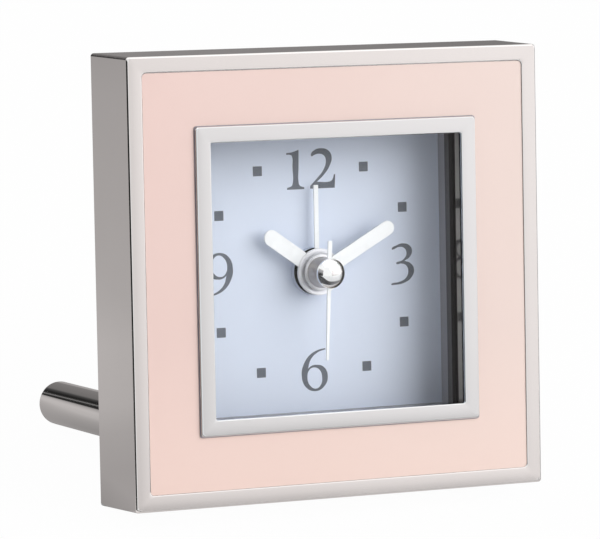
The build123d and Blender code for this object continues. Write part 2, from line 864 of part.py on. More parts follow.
bobbin_length = coil_span - stator_arm - 2 * bobbin_end_gap
bobbin_left = rotor_place[0] - bobbin_length / 2
with BuildPart() as coil_bobbin:
    with BuildSketch(beside(bobbin_left, coil_y, coil_level)):
        Circle(bobbin_radius)
    extrude(amount=bobbin_length)
    with BuildSketch(beside(bobbin_left, coil_y, coil_level)):
        Circle(bobbin_flange_radius)
    extrude(amount=bobbin_flange)
    with BuildSketch(beside(bobbin_left + bobbin_length, coil_y, coil_level)):
        Circle(bobbin_flange_radius)
    extrude(amount=-bobbin_flange)
    with BuildSketch(beside(bobbin_left, coil_y, coil_level)):
        Rectangle(coil_core_width + 2 * shaft_gap, coil_core_thickness + 2 * shaft_gap)
    extrude(amount=bobbin_length, mode=Mode.SUBTRACT)
finish(coil_bobbin.part, "coil_bobbin")

with BuildPart() as coil_winding:
    with BuildSketch(beside(bobbin_left + bobbin_flange, coil_y, coil_level)):
        Circle(coil_radius)
        Circle(bobbin_radius, mode=Mode.SUBTRACT)
    extrude(amount=bobbin_length - 2 * bobbin_flange)
finish(coil_winding.part, "coil_winding")

rotor_phase = meshed_phase(intermediate_teeth, rotor_bearing, rotor_pinion_teeth)
with BuildPart() as rotor:
    with BuildSketch(at(intermediate_level - pinion_extra, rotor_place)):
        toothed(rotor_pinion_teeth, rotor_module, rotor_phase)
    extrude(amount=pinion_width)
    with BuildSketch(at(train_plate_back, rotor_place)):
        Circle(arbor_radius)
    extrude(amount=pivot_front - train_plate_back)
    with BuildSketch(at(magnet_back, rotor_place)):
        Circle(magnet_radius)
    extrude(amount=magnet_length)
finish(rotor.part, "rotor")

# Going train
intermediate_wheel = wheel_on_arbor(
    intermediate_place,
    [
        (intermediate_teeth, rotor_module, 0, intermediate_level, wheel_width),
        (
            intermediate_pinion_teeth,
            second_module,
            meshed_phase(second_teeth, intermediate_bearing, intermediate_pinion_teeth),
            second_level - pinion_extra,
            pinion_width,
        ),
    ],
    arbor_radius,
    train_plate_back,
    pivot_front,
)
finish(intermediate_wheel, "intermediate_wheel")

second_wheel = wheel_on_arbor(
    (0, 0),
    [
        (second_teeth, second_module, 0, second_level, wheel_width),
        (second_pinion_teeth, third_module, 0, third_level - pinion_extra, pinion_width),
    ],
    second_arbor_radius,
    train_plate_back,
    cap_seat,
)
finish(second_wheel, "second_wheel")

third_phase = meshed_phase(second_pinion_teeth, third_bearing, third_teeth)
third_wheel = wheel_on_arbor(
    third_place,
    [
        (third_teeth, third_module, third_phase, third_level, wheel_width),
        (third_pinion_teeth, centre_module, 0, centre_level - pinion_extra, pinion_width),
    ],
    arbor_radius,
    train_plate_back,
    pivot_front,
)
finish(third_wheel, "third_wheel")

# Centre wheel, which drives the cannon pinion through a slipping fit
cannon_back = centre_level - level_gap
centre_wheel = wheel_on_pipe(
    (
        centre_teeth,
        centre_module,
        meshed_phase(third_pinion_teeth, third_bearing + 180, centre_teeth),
        centre_level,
        wheel_width,
    ),
    cannon_radius + shaft_gap,
    cannon_radius + shaft_gap + clutch_wall,
    cannon_back,
    minute_level - pinion_extra - shaft_gap,
)
finish(centre_wheel, "centre_wheel")

# Motion work behind the dial
cannon_pinion = wheel_on_pipe(
    (cannon_teeth, minute_module, 0, minute_level - pinion_extra, pinion_width),
    cannon_bore,
    cannon_radius,
    cannon_back,
    sleeve_middle,
)
finish(cannon_pinion, "cannon_pinion")

minute_phase = meshed_phase(cannon_teeth, minute_bearing, minute_teeth)
minute_wheel = wheel_on_arbor(
    minute_place,
    [
        (minute_teeth, minute_module, minute_phase, minute_level, wheel_width),
        (minute_pinion_teeth, hour_module, 0, hour_level - pinion_extra, pinion_width),
    ],
    knob_arbor_radius,
    knob_arbor_back,
    pivot_front,
)
finish(minute_wheel, "minute_wheel")

hour_wheel = wheel_on_pipe(
    (
        hour_teeth,
        hour_module,
        meshed_phase(minute_pinion_teeth, minute_bearing + 180, hour_teeth),
        hour_level,
        wheel_width,
    ),
    hour_bore,
    hour_radius,
    hour_level,
    hour_hand_level + hand_sheet + hour_hub_rise,
)
finish(hour_wheel, "hour_wheel")

# Alarm setting
alarm_wheel = wheel_on_pipe(
    (alarm_teeth, alarm_module, 0, alarm_level, wheel_width),
    alarm_bore,
    alarm_radius,
    alarm_level,
    alarm_hand_level + hand_sheet,
)
finish(alarm_wheel, "alarm_wheel")

alarm_pinion = wheel_on_arbor(
    alarm_place,
    [
        (
            alarm_pinion_teeth,
            alarm_module,
            meshed_phase(alarm_teeth, alarm_bearing, alarm_pinion_teeth),
            alarm_level - pinion_extra,
            pinion_width,
        )
    ],
    knob_arbor_radius,
    knob_arbor_back,
    pivot_front,
)
finish(alarm_pinion, "alarm_pinion")

finish(knob(minute_place), "time_knob")
finish(knob(alarm_place), "alarm_knob")

# Hands, drawn pointing up and turned clockwise to the time shown
with BuildPart() as alarm_hand:
    with BuildSketch(at(alarm_hand_level, turn=-alarm_hand_angle)):
        Circle(alarm_hub_radius)
        with Locations((0, alarm_hand_length / 2)):
            Rectangle(alarm_hand_width, alarm_hand_length)
        Circle(alarm_radius, mode=Mode.SUBTRACT)
    extrude(amount=hand_sheet)
finish(alarm_hand.part, "alarm_hand")

with BuildPart() as hour_hand:
    with BuildSketch(at(hour_hand_level, turn=-hour_hand_angle)):
        with Locations((0, hour_hand_length / 2 - hour_hand_width / 4)):
            SlotOverall(hour_hand_length + hour_hand_width / 2, hour_hand_width, rotation=90)
    extrude(amount=hand_sheet)
    with BuildSketch(at(hour_hand_level)):
        Circle(hour_hub_radius)
    extrude(amount=hand_sheet + hour_hub_rise)
    with BuildSketch(at(hour_hand_level)):
        Circle(hour_radius)
    extrude(amount=hand_sheet + hour_hub_rise, mode=Mode.SUBTRACT)
finish(hour_hand.part, "hour_hand")

with BuildPart() as minute_hand:
    with BuildSketch(at(minute_hand_level, turn=-minute_hand_angle)):
        with Locations((0, minute_hand_length / 2 - minute_hand_width / 4)):
            SlotOverall(minute_hand_length + minute_hand_width / 2, minute_hand_width, rotation=90)
        Circle(minute_hub_radius)
        Circle(cannon_radius, mode=Mode.SUBTRACT)
    extrude(amount=hand_sheet)
finish(minute_hand.part, "minute_hand")

with BuildPart() as minute_sleeve:
    with BuildSketch(across()):
        with BuildLine():
            Polyline(
                (cannon_radius, sleeve_bottom),
                (sleeve_radius, sleeve_bottom),
                (sleeve_top_radius, sleeve_top),
                (cannon_radius, sleeve_top),
                close=True,
            )
        make_face()
    revolve(axis=forward)
finish(minute_sleeve.part, "minute_sleeve")

with BuildPart() as second_hand:
    with BuildSketch(at(second_hand_level, turn=-second_hand_angle)):
        with BuildLine():
            Polyline(
                (-second_hand_width / 2, -second_hand_tail),
                (second_hand_width / 2, -second_hand_tail),
                (second_hand_width / 2, 0),
                (second_tip_width / 2, second_hand_length),
                (-second_tip_width / 2, second_hand_length),
                (-second_hand_width / 2, 0),
                close=True,
            )
        make_face()
        Circle(second_hub_radius)
        Circle(second_arbor_radius, mode=Mode.SUBTRACT)
    extrude(amount=hand_sheet)
finish(second_hand.part, "second_hand")

with BuildPart() as hand_cap:
    with BuildSketch(across()):
        with BuildLine():
            Polyline(
                (0, cap_top),
                (0, cap_seat),
                (second_arbor_radius, cap_seat),
                (second_arbor_radius, cap_bottom),
                (cap_radius, cap_bottom),
                (cap_radius, cap_shoulder),
            )
            TangentArc((0, cap_top), (cap_radius, cap_shoulder), tangent=(1, 0))
        make_face()
    revolve(axis=forward)
finish(hand_cap.part, "hand_cap")
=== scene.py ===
import bmesh
import bpy
import json
import math
from mathutils import Matrix, Vector


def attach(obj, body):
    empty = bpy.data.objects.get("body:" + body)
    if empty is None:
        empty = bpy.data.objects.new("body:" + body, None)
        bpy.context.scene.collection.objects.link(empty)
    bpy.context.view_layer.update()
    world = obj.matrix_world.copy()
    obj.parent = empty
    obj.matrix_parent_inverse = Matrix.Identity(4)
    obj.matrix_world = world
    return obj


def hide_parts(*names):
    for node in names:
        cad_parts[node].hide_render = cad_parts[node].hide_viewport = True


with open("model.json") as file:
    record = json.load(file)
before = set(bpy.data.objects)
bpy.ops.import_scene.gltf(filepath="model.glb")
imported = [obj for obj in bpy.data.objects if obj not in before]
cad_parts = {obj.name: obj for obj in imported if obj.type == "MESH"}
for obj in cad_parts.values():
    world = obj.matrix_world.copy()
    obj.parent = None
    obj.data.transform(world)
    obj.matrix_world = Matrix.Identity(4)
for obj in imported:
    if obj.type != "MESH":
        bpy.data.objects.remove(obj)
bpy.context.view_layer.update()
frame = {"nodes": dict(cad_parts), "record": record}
nodes = frame["nodes"]
print("frame loaded:", len(nodes), "nodes")

# The clock's own space, in millimetres: x right, y up the face, z out of the dial
lean = {"degrees": 13.774, "origin": (0.0, -5.24794, 41.71017)}
mm = 0.001
faceTurn = math.radians(90 - lean["degrees"])
clockFrame = (Matrix.Translation(Vector(lean["origin"]) * mm) @ Matrix.Rotation(faceTurn, 4, "X")
              @ Matrix.Scale(mm, 4))
fourCorners = [(x, y) for x in (-1, 1) for y in (-1, 1)]


# Mesh helpers
def linkData(name, data):
    thing = bpy.data.objects.new(name, data)
    bpy.context.scene.collection.objects.link(thing)
    return thing


def dropObject(thing):
    bpy.data.objects.remove(thing, do_unlink=True)


def takeMesh(thing):
    # the mesh alone, without its object
    mesh = thing.data
    dropObject(thing)
    return mesh


def evaluatedMesh(thing):
    bpy.context.view_layer.update()
    graph = bpy.context.evaluated_depsgraph_get()
    return bpy.data.meshes.new_from_object(thing.evaluated_get(graph), depsgraph=graph)


def bakeModifiers(thing):
    # the evaluated mesh takes the place of the modifiers
    mesh = evaluatedMesh(thing)
    thing.modifiers.clear()
    thing.data = mesh


def settleNormals(thing, sharpAngle, flatShare):
    mesh = thing.data
    mesh.polygons.foreach_set("use_smooth", [True] * len(mesh.polygons))
    mesh.set_sharp_from_angle(angle=math.radians(sharpAngle))
    even = thing.modifiers.new("even", "WEIGHTED_NORMAL")
    even.keep_sharp = True
    even.weight = flatShare  # 100 keeps the normals of flat faces square to them
    even.thresh = 0.0
    bakeModifiers(thing)


def meshFrom(name, points, faces):
    mesh = bpy.data.meshes.new(name)
    mesh.from_pydata([tuple(p) for p in points], [], faces)
    mesh.update()
    return mesh


def tidyMesh(mesh, merge=1e-5):
    work = bmesh.new()
    work.from_mesh(mesh)
    bmesh.ops.remove_doubles(work, verts=work.verts, dist=merge)
    bmesh.ops.recalc_face_normals(work, faces=work.faces)
    work.to_mesh(mesh)
    work.free()
    return mesh


def joinMeshes(name, meshes):
    work = bmesh.new()
    for mesh in meshes:
        work.from_mesh(mesh)
    whole = bpy.data.meshes.new(name)
    work.to_mesh(whole)
    work.free()
    return whole


def placed(name, mesh, material, body, stands=(), sharpAngle=38, flatShare=50):
    # mesh drawn in millimetres in the clock's space
    mesh.transform(clockFrame)
    thing = linkData(name, mesh)
    settleNormals(thing, sharpAngle, flatShare)
    thing.data.materials.clear()
    thing.data.materials.append(material)
    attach(thing, body)
    if stands:
        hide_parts(*stands)


def onCircle(radius, degrees, cx=0, cy=0):
    turn = math.radians(degrees)
    return (cx + radius * math.cos(turn), cy + radius * math.sin(turn))


def arc(cx, cy, radius, start, end, steps):
    return [onCircle(radius, start + (end - start) * k / steps, cx, cy) for k in range(steps + 1)]


def squareLoop(half, corner, level, steps):
    reach = half - corner
    loop = []
    for side, (cx, cy) in enumerate(((reach, reach), (-reach, reach), (-reach, -reach), (reach, -reach))):
        loop += [(x, y, level) for x, y in arc(cx, cy, corner, 90 * side, 90 * side + 90, steps)]
    return loop


def roundOver(half, level, radius, towards, steps=5):
    # quarter round of a square ring's section: towards names the turn it makes
    start, end = {"inTop": (90, 180), "topOut": (0, 90)}[towards]
    cx = half - radius if towards == "topOut" else half + radius
    return arc(cx, level - radius, radius, start, end, steps)


def crowned(outer, inner, level, drop, steps=8):
    # shallow crown between two edges that lie lower by the drop, without the edges themselves
    places = [-1 + 2 * k / steps for k in range(1, steps)]
    middle, reach = (outer + inner) / 2, (inner - outer) / 2
    return [(middle + reach * u, level - drop * u * u) for u in places]


def squareRing(name, section, steps, leastCorner=0.02):
    # section: half width, corner radius and level of each loop, closed round the ring
    points = []
    for half, corner, level in section:
        points += squareLoop(half, max(corner, leastCorner), level, steps)
    count = 4 * (steps + 1)
    total = len(section)
    faces = []
    for row in range(total):
        nextRow = (row + 1) % total
        for k in range(count):
            n = (k + 1) % count
            faces.append((row * count + k, row * count + n, nextRow * count + n, nextRow * count + k))
    return tidyMesh(meshFrom(name, points, faces))


def squareBand(name, s, low, high, steps):
    # plain square band, its outer and inner half widths and corner in a piece's sizes
    loops = [(s["outer"], low), (s["outer"], high), (s["inner"], high), (s["inner"], low)]
    return squareRing(name, [(half, s["corner"], level) for half, level in loops], steps)


def turned(name, profile, steps):
    # profile: radius and level, from the axis round to the axis again or closed as a ring
    points, rings = [], []
    for radius, level in profile:
        start = len(points)
        if not radius:
            rings.append([start])
            points.append((0, 0, level))
            continue
        rings.append(list(range(start, start + steps)))
        points += [(x, y, level) for x, y in arc(0, 0, radius, 0, 360, steps)[:-1]]
    faces = []
    pairs = list(zip(rings, rings[1:]))
    if len(rings[0]) > 1 and len(rings[-1]) > 1:
        pairs.append((rings[-1], rings[0]))
    for low, high in pairs:
        for k in range(steps):
            n = (k + 1) % steps
            face = [low[k % len(low)], low[n % len(low)], high[n % len(high)], high[k % len(high)]]
            face = list(dict.fromkeys(face))
            if len(face) > 2:
                faces.append(face)
    return tidyMesh(meshFrom(name, points, faces))


def tube(name, bore, radius, low, high, steps, soft=0, foot=0):
    # ring or disc, its outer edges eased by soft at the high end and by foot at the low end
    start = [(radius - foot, low), (radius, low + foot)] if foot else [(radius, low)]
    end = [(radius, high - soft), (radius - soft, high)] if soft else [(radius, high)]
    return turned(name, [(bore, low), *start, *end, (bore, high)], steps)


def slab(name, outline, low, high):
    count = len(outline)
    points = [(x, y, low) for x, y in outline] + [(x, y, high) for x, y in outline]
    faces = [tuple(range(count))[::-1], tuple(range(count, 2 * count))]
    faces += [(k, (k + 1) % count, count + (k + 1) % count, count + k) for k in range(count)]
    return tidyMesh(meshFrom(name, points, faces))


def softSlab(name, outline, low, high, width, segments=3, angle=40):
    thing = linkData(name, slab(name, outline, low, high))
    soft = thing.modifiers.new("soften", "BEVEL")
    soft.width = width
    soft.segments = segments
    soft.limit_method = "ANGLE"
    soft.angle_limit = math.radians(angle)
    bakeModifiers(thing)
    return takeMesh(thing)


def carved(base, tool):
    # base less tool
    baseThing, toolThing = linkData("base", base), linkData("tool", tool)
    cut = baseThing.modifiers.new("cut", "BOOLEAN")
    cut.object = toolThing
    cut.operation = "DIFFERENCE"
    cut.solver = "EXACT"
    bakeModifiers(baseThing)
    dropObject(toolThing)
    return takeMesh(baseThing)


def turnedBy(mesh, degrees):
    # clockwise as seen from the front
    mesh.transform(Matrix.Rotation(math.radians(-degrees), 4, "Z"))
    return mesh


def movedTo(mesh, x, y, level=0):
    mesh.transform(Matrix.Translation((x, y, level)))
    return mesh


def offset(points, x, y):
    return [(x + dx, y + dy) for dx, dy in points]


def rectangle(width, height):
    return [(x * width / 2, y * height / 2) for x, y in ((-1, -1), (1, -1), (1, 1), (-1, 1))]


def arrowOutline(tail, neck, tip, shaft, wing):
    # arrow pointing up: levels of its tail, neck and tip, and half widths of its shaft and head
    return [(-shaft, tail), (shaft, tail), (shaft, neck), (wing, neck), (0, tip), (-wing, neck),
            (-shaft, neck)]


# Camera, at the photograph's angle, written in the clock's space
view = {
    "spot": (-339.35, 66.94, 753.76),
    "right": (0.9112636, -0.0191802, 0.4113767),
    "up": (0.0506804, 0.9965448, -0.0658019),
    "ahead": (0.4086932, -0.0808116, -0.9090871),
    "lens": 257.704,
    "sensor": 36.0,
    "clip": (0.02, 30),
}


def setCamera():
    camera = bpy.data.cameras.new("photoCamera")
    camera.sensor_fit = "HORIZONTAL"
    camera.sensor_width = view["sensor"]
    camera.lens = view["lens"]
    camera.clip_start, camera.clip_end = view["clip"]
    thing = linkData("photoCamera", camera)
    turn = Matrix.Rotation(faceTurn, 3, "X")
    axes = [turn @ Vector(view["right"]), turn @ Vector(view["up"]), turn @ -Vector(view["ahead"])]
    place = Matrix([list(row) for row in zip(*axes)]).to_4x4()
    place.translation = clockFrame @ Vector(view["spot"])
    thing.matrix_world = place
    bpy.context.scene.camera = thing


setCamera()
print("camera set")


# Node helpers
def addNode(tree, kind, values=None, **traits):
    made = tree.nodes.new(kind)
    for trait, value in traits.items():
        setattr(made, trait, value)
    for key, value in (values or {}).items():
        made.inputs[key].default_value = value
    return made


def wire(tree, *runs):
    # each run: a node and its output, then a node and its input
    for source, output, target, entry in runs:
        tree.links.new(source.outputs[output], target.inputs[entry])


def startTree(name, family, inputs, outputs):
    # node tree with named sockets, each given by its kind
    tree = bpy.data.node_groups.new(name, family)
    for direction, sockets in (("INPUT", inputs), ("OUTPUT", outputs)):
        for title, kind in sockets.items():
            tree.interface.new_socket(name=title, in_out=direction, socket_type="NodeSocket" + kind)
    return tree, addNode(tree, "NodeGroupInput"), addNode(tree, "NodeGroupOutput")


def newMaterial(name):
    material = bpy.data.materials.new(name)
    material.use_nodes = True
    return material, material.node_tree


def makeHandledGroup():
    # uneven gloss and hairline marks of a handled surface
    group, entry, leave = startTree("handledSurface", "ShaderNodeTree", {
        "Roughness": "Float", "Spread": "Float", "Smudge Scale": "Float", "Hairline Scale": "Float",
    }, {"Roughness": "Float", "Height": "Float"})
    where = addNode(group, "ShaderNodeTexCoord")
    smudge = addNode(group, "ShaderNodeTexNoise", {"Detail": 4.0, "Roughness": 0.55})
    stretch = addNode(group, "ShaderNodeMapping", {"Rotation": (0.5, 0.3, 0.7), "Scale": (1.0, 0.05, 0.35)})
    hairline = addNode(group, "ShaderNodeTexNoise", {"Detail": 2.0, "Roughness": 0.5})
    band = addNode(group, "ShaderNodeMapRange",
                   {"From Min": 0.35, "From Max": 0.7, "To Min": -1.0, "To Max": 1.0})
    spread = addNode(group, "ShaderNodeMath", operation="MULTIPLY")
    total = addNode(group, "ShaderNodeMath", operation="ADD", use_clamp=True)
    wire(group,
         (where, "Object", smudge, "Vector"), (where, "Object", stretch, "Vector"),
         (stretch, "Vector", hairline, "Vector"), (entry, "Smudge Scale", smudge, "Scale"),
         (entry, "Hairline Scale", hairline, "Scale"), (smudge, "Fac", band, "Value"),
         (band, "Result", spread, 0), (entry, "Spread", spread, 1), (spread, "Value", total, 0),
         (entry, "Roughness", total, 1), (total, "Value", leave, "Roughness"),
         (hairline, "Fac", leave, "Height"))
    return group


def makeMottleGroup():
    # slow change of colour with fine flecks in it
    group, entry, leave = startTree("mottledColour", "ShaderNodeTree", {
        "Light": "Color", "Deep": "Color", "Cloud Scale": "Float", "Fleck Scale": "Float",
        "Fleck Share": "Float",
    }, {"Colour": "Color", "Fleck": "Float"})
    where = addNode(group, "ShaderNodeTexCoord")
    cloud = addNode(group, "ShaderNodeTexNoise", {"Detail": 3.0, "Roughness": 0.5})
    fleck = addNode(group, "ShaderNodeTexNoise", {"Detail": 5.0, "Roughness": 0.65})
    blend = addNode(group, "ShaderNodeMix", data_type="FLOAT")
    colour = addNode(group, "ShaderNodeMix", data_type="RGBA")
    level = addNode(group, "ShaderNodeMapRange", {"From Min": 0.3, "From Max": 0.7})
    wire(group,
         (where, "Object", cloud, "Vector"), (where, "Object", fleck, "Vector"),
         (entry, "Cloud Scale", cloud, "Scale"), (entry, "Fleck Scale", fleck, "Scale"),
         (entry, "Fleck Share", blend, "Factor"), (cloud, "Fac", blend, "A"), (fleck, "Fac", blend, "B"),
         (blend, "Result", level, "Value"), (level, "Result", colour, "Factor"),
         (entry, "Deep", colour, "A"), (entry, "Light", colour, "B"),
         (colour, "Result", leave, "Colour"), (fleck, "Fac", leave, "Fleck"))
    return group


handledGroup = makeHandledGroup()
mottleGroup = makeMottleGroup()
relief = {"hairline": 900, "depth": 0.00005}


def finishOf(name, light, deep, rough, spread, metal=0.0, cloud=40, fleck=900, fleckShare=0.2, smudge=60,
             bump=0.0, bumpFrom="Height", **sockets):
    # one finish: mottled colour, handled gloss and a fine relief
    material, tree = newMaterial(name)
    shader = tree.nodes["Principled BSDF"]
    shader.inputs["Metallic"].default_value = metal
    for socket, value in sockets.items():
        shader.inputs[socket.replace("_", " ")].default_value = value
    colour = addNode(tree, "ShaderNodeGroup", {
        "Light": (*light, 1), "Deep": (*deep, 1), "Cloud Scale": cloud, "Fleck Scale": fleck,
        "Fleck Share": fleckShare}, node_tree=mottleGroup)
    gloss = addNode(tree, "ShaderNodeGroup", {
        "Roughness": rough, "Spread": spread, "Smudge Scale": smudge, "Hairline Scale": relief["hairline"],
    }, node_tree=handledGroup)
    wire(tree, (colour, "Colour", shader, "Base Color"), (gloss, "Roughness", shader, "Roughness"))
    if bump:
        rise = addNode(tree, "ShaderNodeBump", {"Strength": bump, "Distance": relief["depth"]})
        source = gloss if bumpFrom == "Height" else colour
        wire(tree, (source, bumpFrom, rise, "Height"), (rise, "Normal", shader, "Normal"))
    return material


def layerColour(material, axis, low, high, colour):
    # a second base colour, coming in between two places along an axis of the clock
    tree = material.node_tree
    shader = tree.nodes["Principled BSDF"]
    first = shader.inputs["Base Color"].links[0].from_socket
    where = addNode(tree, "ShaderNodeTexCoord")
    turn = addNode(tree, "ShaderNodeMapping", {
        "Location": [v * mm for v in lean["origin"]], "Rotation": (faceTurn, 0, 0), "Scale": (mm, mm, mm),
    }, vector_type="TEXTURE")
    split = addNode(tree, "ShaderNodeSeparateXYZ")
    band = addNode(tree, "ShaderNodeMapRange", {"From Min": low, "From Max": high})
    over = addNode(tree, "ShaderNodeMix", {"B": (*colour, 1)}, data_type="RGBA")
    tree.links.new(first, over.inputs["A"])
    wire(tree, (where, "Object", turn, "Vector"), (turn, "Vector", split, 0), (split, axis, band, "Value"),
         (band, "Result", over, "Factor"), (over, "Result", shader, "Base Color"))


# Finishes
plating = finishOf("platedNickel", (0.79, 0.775, 0.765), (0.755, 0.74, 0.73), 0.09, 0.03, 1.0, cloud=30,
                   bump=0.015)
polish = finishOf("polishedNickel", (0.80, 0.79, 0.78), (0.76, 0.75, 0.74), 0.045, 0.015, 1.0, cloud=50,
                  bump=0.01)
domeChrome = finishOf("domeChrome", (0.97, 0.97, 0.97), (0.95, 0.95, 0.955), 0.06, 0.02, 1.0, cloud=50,
                      bump=0.01)
satin = finishOf("satinNickel", (0.74, 0.74, 0.745), (0.66, 0.66, 0.665), 0.28, 0.05, 1.0, cloud=200,
                 bump=0.05)
sleeveGrey = finishOf("sleeveGrey", (0.56, 0.525, 0.5), (0.49, 0.46, 0.435), 0.34, 0.05, 1.0, cloud=200,
                      bump=0.04)
hubSilver = finishOf("hubSilver", (0.9, 0.905, 0.94), (0.85, 0.855, 0.89), 0.4, 0.05, 0.3, cloud=300,
                     bump=0.05)
# bezel plating, dull olive on the skirt down in the opening, darker than the same plating in front, as
# painted shade
bezelPlating = finishOf("bezelPlating", (0.42, 0.37, 0.31), (0.385, 0.34, 0.285), 0.1, 0.03, 1.0, cloud=160)
layerColour(bezelPlating, "Z", 14.3, 14.5, (0.012, 0.012, 0.012))  # painted shade: near black on the skirt beside the lens and on the lip's inner wall
layerColour(bezelPlating, "Z", 17.02, 17.12, (0.75, 0.768, 0.778))  # in front of the frame
enamel = finishOf("pinkEnamel", (0.81, 0.578, 0.53), (0.796, 0.56, 0.507), 0.16, 0.03, cloud=25, fleck=2500,
                  fleckShare=0.12, smudge=35, bump=0.02, bumpFrom="Fleck", Coat_Weight=1.0,
                  Coat_Roughness=0.05)
# painted light: the enamel paler and more peach towards the right
layerColour(enamel, "X", -60, 60, (0.79, 0.655, 0.6))
# painted light: the enamel lighter and more peach towards the bottom, against the key light that favours the
# top
layerColour(enamel, "Y", -10, -62, (0.92, 0.69, 0.605))
dialPaint = finishOf("paleDialPaint", (0.69, 0.752, 0.88), (0.665, 0.727, 0.855), 0.55, 0.06, cloud=20,
                     fleck=4000, fleckShare=0.35, bump=0.05, bumpFrom="Fleck")
dialInk = finishOf("greyDialInk", (0.122, 0.137, 0.168), (0.103, 0.118, 0.147), 0.5, 0.08, cloud=300,
                   fleck=6000, bump=0.05, bumpFrom="Fleck")
handLacquer = finishOf("whiteHandLacquer", (0.92, 0.935, 0.945), (0.905, 0.92, 0.935), 0.3, 0.05, cloud=120,
                       fleck=3000)
# painted light and shade for the tub wall: grey by the dial, dark grey above it, black up to the bezel
wallLightGrey = finishOf("wallLightGrey", (0.33, 0.33, 0.36), (0.31, 0.31, 0.34), 0.45, 0.05, cloud=200, fleck=4000)
wallShadeGrey = finishOf("wallShadeGrey", (0.115, 0.115, 0.12), (0.1, 0.1, 0.105), 0.95, 0.04, cloud=300, fleck=5000,
                    fleckShare=0.5, Specular_IOR_Level=0.0)
wallShadeBlack = finishOf("wallShadeBlack", (0.003, 0.003, 0.003), (0.002, 0.002, 0.002), 0.95, 0.04, cloud=300,
                     fleck=5000, Specular_IOR_Level=0.0)
# painted shadow of the hairline gap round the bezel
seamShadowGrey = finishOf("paintedSeamShadow", (0.36, 0.32, 0.36), (0.32, 0.28, 0.32), 0.6, 0.06, cloud=300,
                    Specular_IOR_Level=0.1)
blackGloss = finishOf("blackGlossPlastic", (0.012, 0.012, 0.013), (0.008, 0.008, 0.009), 0.14, 0.03,
                      cloud=120, fleck=2500, Specular_IOR_Level=0.2)
blackGrain = finishOf("blackGrainedPlastic", (0.022, 0.022, 0.023), (0.014, 0.014, 0.015), 0.45, 0.06,
                      cloud=150, fleck=3200, fleckShare=0.5, bump=0.35, bumpFrom="Fleck")
plateCoat = finishOf("blackPlateCoat", (0.03, 0.03, 0.032), (0.02, 0.02, 0.022), 0.52, 0.07, cloud=90,
                     fleck=2600, fleckShare=0.5, bump=0.5, bumpFrom="Fleck")
signInk = finishOf("paleSignInk", (0.62, 0.62, 0.61), (0.55, 0.55, 0.54), 0.5, 0.06, cloud=400, fleck=3000)
screwSteel = finishOf("zincScrewSteel", (0.62, 0.62, 0.60), (0.5, 0.5, 0.485), 0.26, 0.08, 1.0, cloud=400,
                      bump=0.08)
brassFinish = finishOf("brightBrass", (0.80, 0.60, 0.27), (0.70, 0.50, 0.2), 0.22, 0.06, 1.0, cloud=300,
                       bump=0.05)
gearFinish = finishOf("whiteGearPlastic", (0.80, 0.79, 0.74), (0.72, 0.71, 0.66), 0.4, 0.06, cloud=400,
                      fleck=3000)
ironFinish = finishOf("softIron", (0.36, 0.35, 0.34), (0.28, 0.27, 0.265), 0.38, 0.08, 1.0, cloud=400,
                      bump=0.1)
copperFinish = finishOf("copperWinding", (0.72, 0.33, 0.17), (0.52, 0.2, 0.09), 0.3, 0.06, 1.0, cloud=700,
                        bump=0.3)
boardFinish = finishOf("greenBoard", (0.03, 0.16, 0.07), (0.02, 0.11, 0.045), 0.3, 0.06, cloud=300,
                       fleck=2500)
chipFinish = finishOf("blackChipResin", (0.014, 0.014, 0.014), (0.008, 0.008, 0.008), 0.22, 0.06, cloud=500)
jacketFinish = finishOf("darkCellJacket", (0.05, 0.052, 0.056), (0.035, 0.036, 0.04), 0.25, 0.06, cloud=200,
                        bump=0.04)
magnetFinish = finishOf("greyMagnet", (0.16, 0.16, 0.165), (0.1, 0.1, 0.105), 0.45, 0.08, 1.0, cloud=500,
                        bump=0.2)


def makeLensFinish():
    # clear acrylic that lets the studio light through to the dial
    material, tree = newMaterial("clearLens")
    shader = tree.nodes["Principled BSDF"]
    shader.inputs["Base Color"].default_value = (0.985, 0.99, 0.99, 1)
    shader.inputs["Transmission Weight"].default_value = 1.0
    shader.inputs["IOR"].default_value = 1.25  # coated, so it mirrors little
    gloss = addNode(tree, "ShaderNodeGroup", {
        "Roughness": 0.002, "Spread": 0.001, "Smudge Scale": 45, "Hairline Scale": 1200,
    }, node_tree=handledGroup)
    through = addNode(tree, "ShaderNodeBsdfTransparent")
    rays = addNode(tree, "ShaderNodeLightPath")
    blend = addNode(tree, "ShaderNodeMixShader")
    wire(tree, (gloss, "Roughness", shader, "Roughness"), (rays, "Is Shadow Ray", blend, "Fac"),
         (shader, "BSDF", blend, 1), (through, "BSDF", blend, 2),
         (blend, "Shader", tree.nodes["Material Output"], "Surface"))
    return material


lensFinish = makeLensFinish()
slotFinish = {
    "plated_silver": plating, "pink_enamel": enamel, "clear_glass": lensFinish, "black_plastic": blackGrain,
    "dial_card": dialPaint, "hand_white": handLacquer, "gear_plastic": gearFinish, "screw_steel": screwSteel,
    "plate_steel": plateCoat, "brass": brassFinish, "motor_iron": ironFinish, "copper_wire": copperFinish,
    "board_green": boardFinish, "chip_black": chipFinish, "cell_jacket": jacketFinish, "magnet": magnetFinish,
}
nodeFinish = {"module_case": blackGloss, "train_plate": gearFinish, "coil_bobbin": gearFinish}


def dressNodes():
    slotsOf = {row["node"]: row["material_slot"] for row in frame["record"]["subparts"]}
    for name, thing in nodes.items():
        finish = nodeFinish.get(name) or slotFinish.get(slotsOf.get(name), blackGrain)
        thing.data.materials.clear()
        thing.data.materials.append(finish)


dressNodes()
print("finishes made:", len(bpy.data.materials))

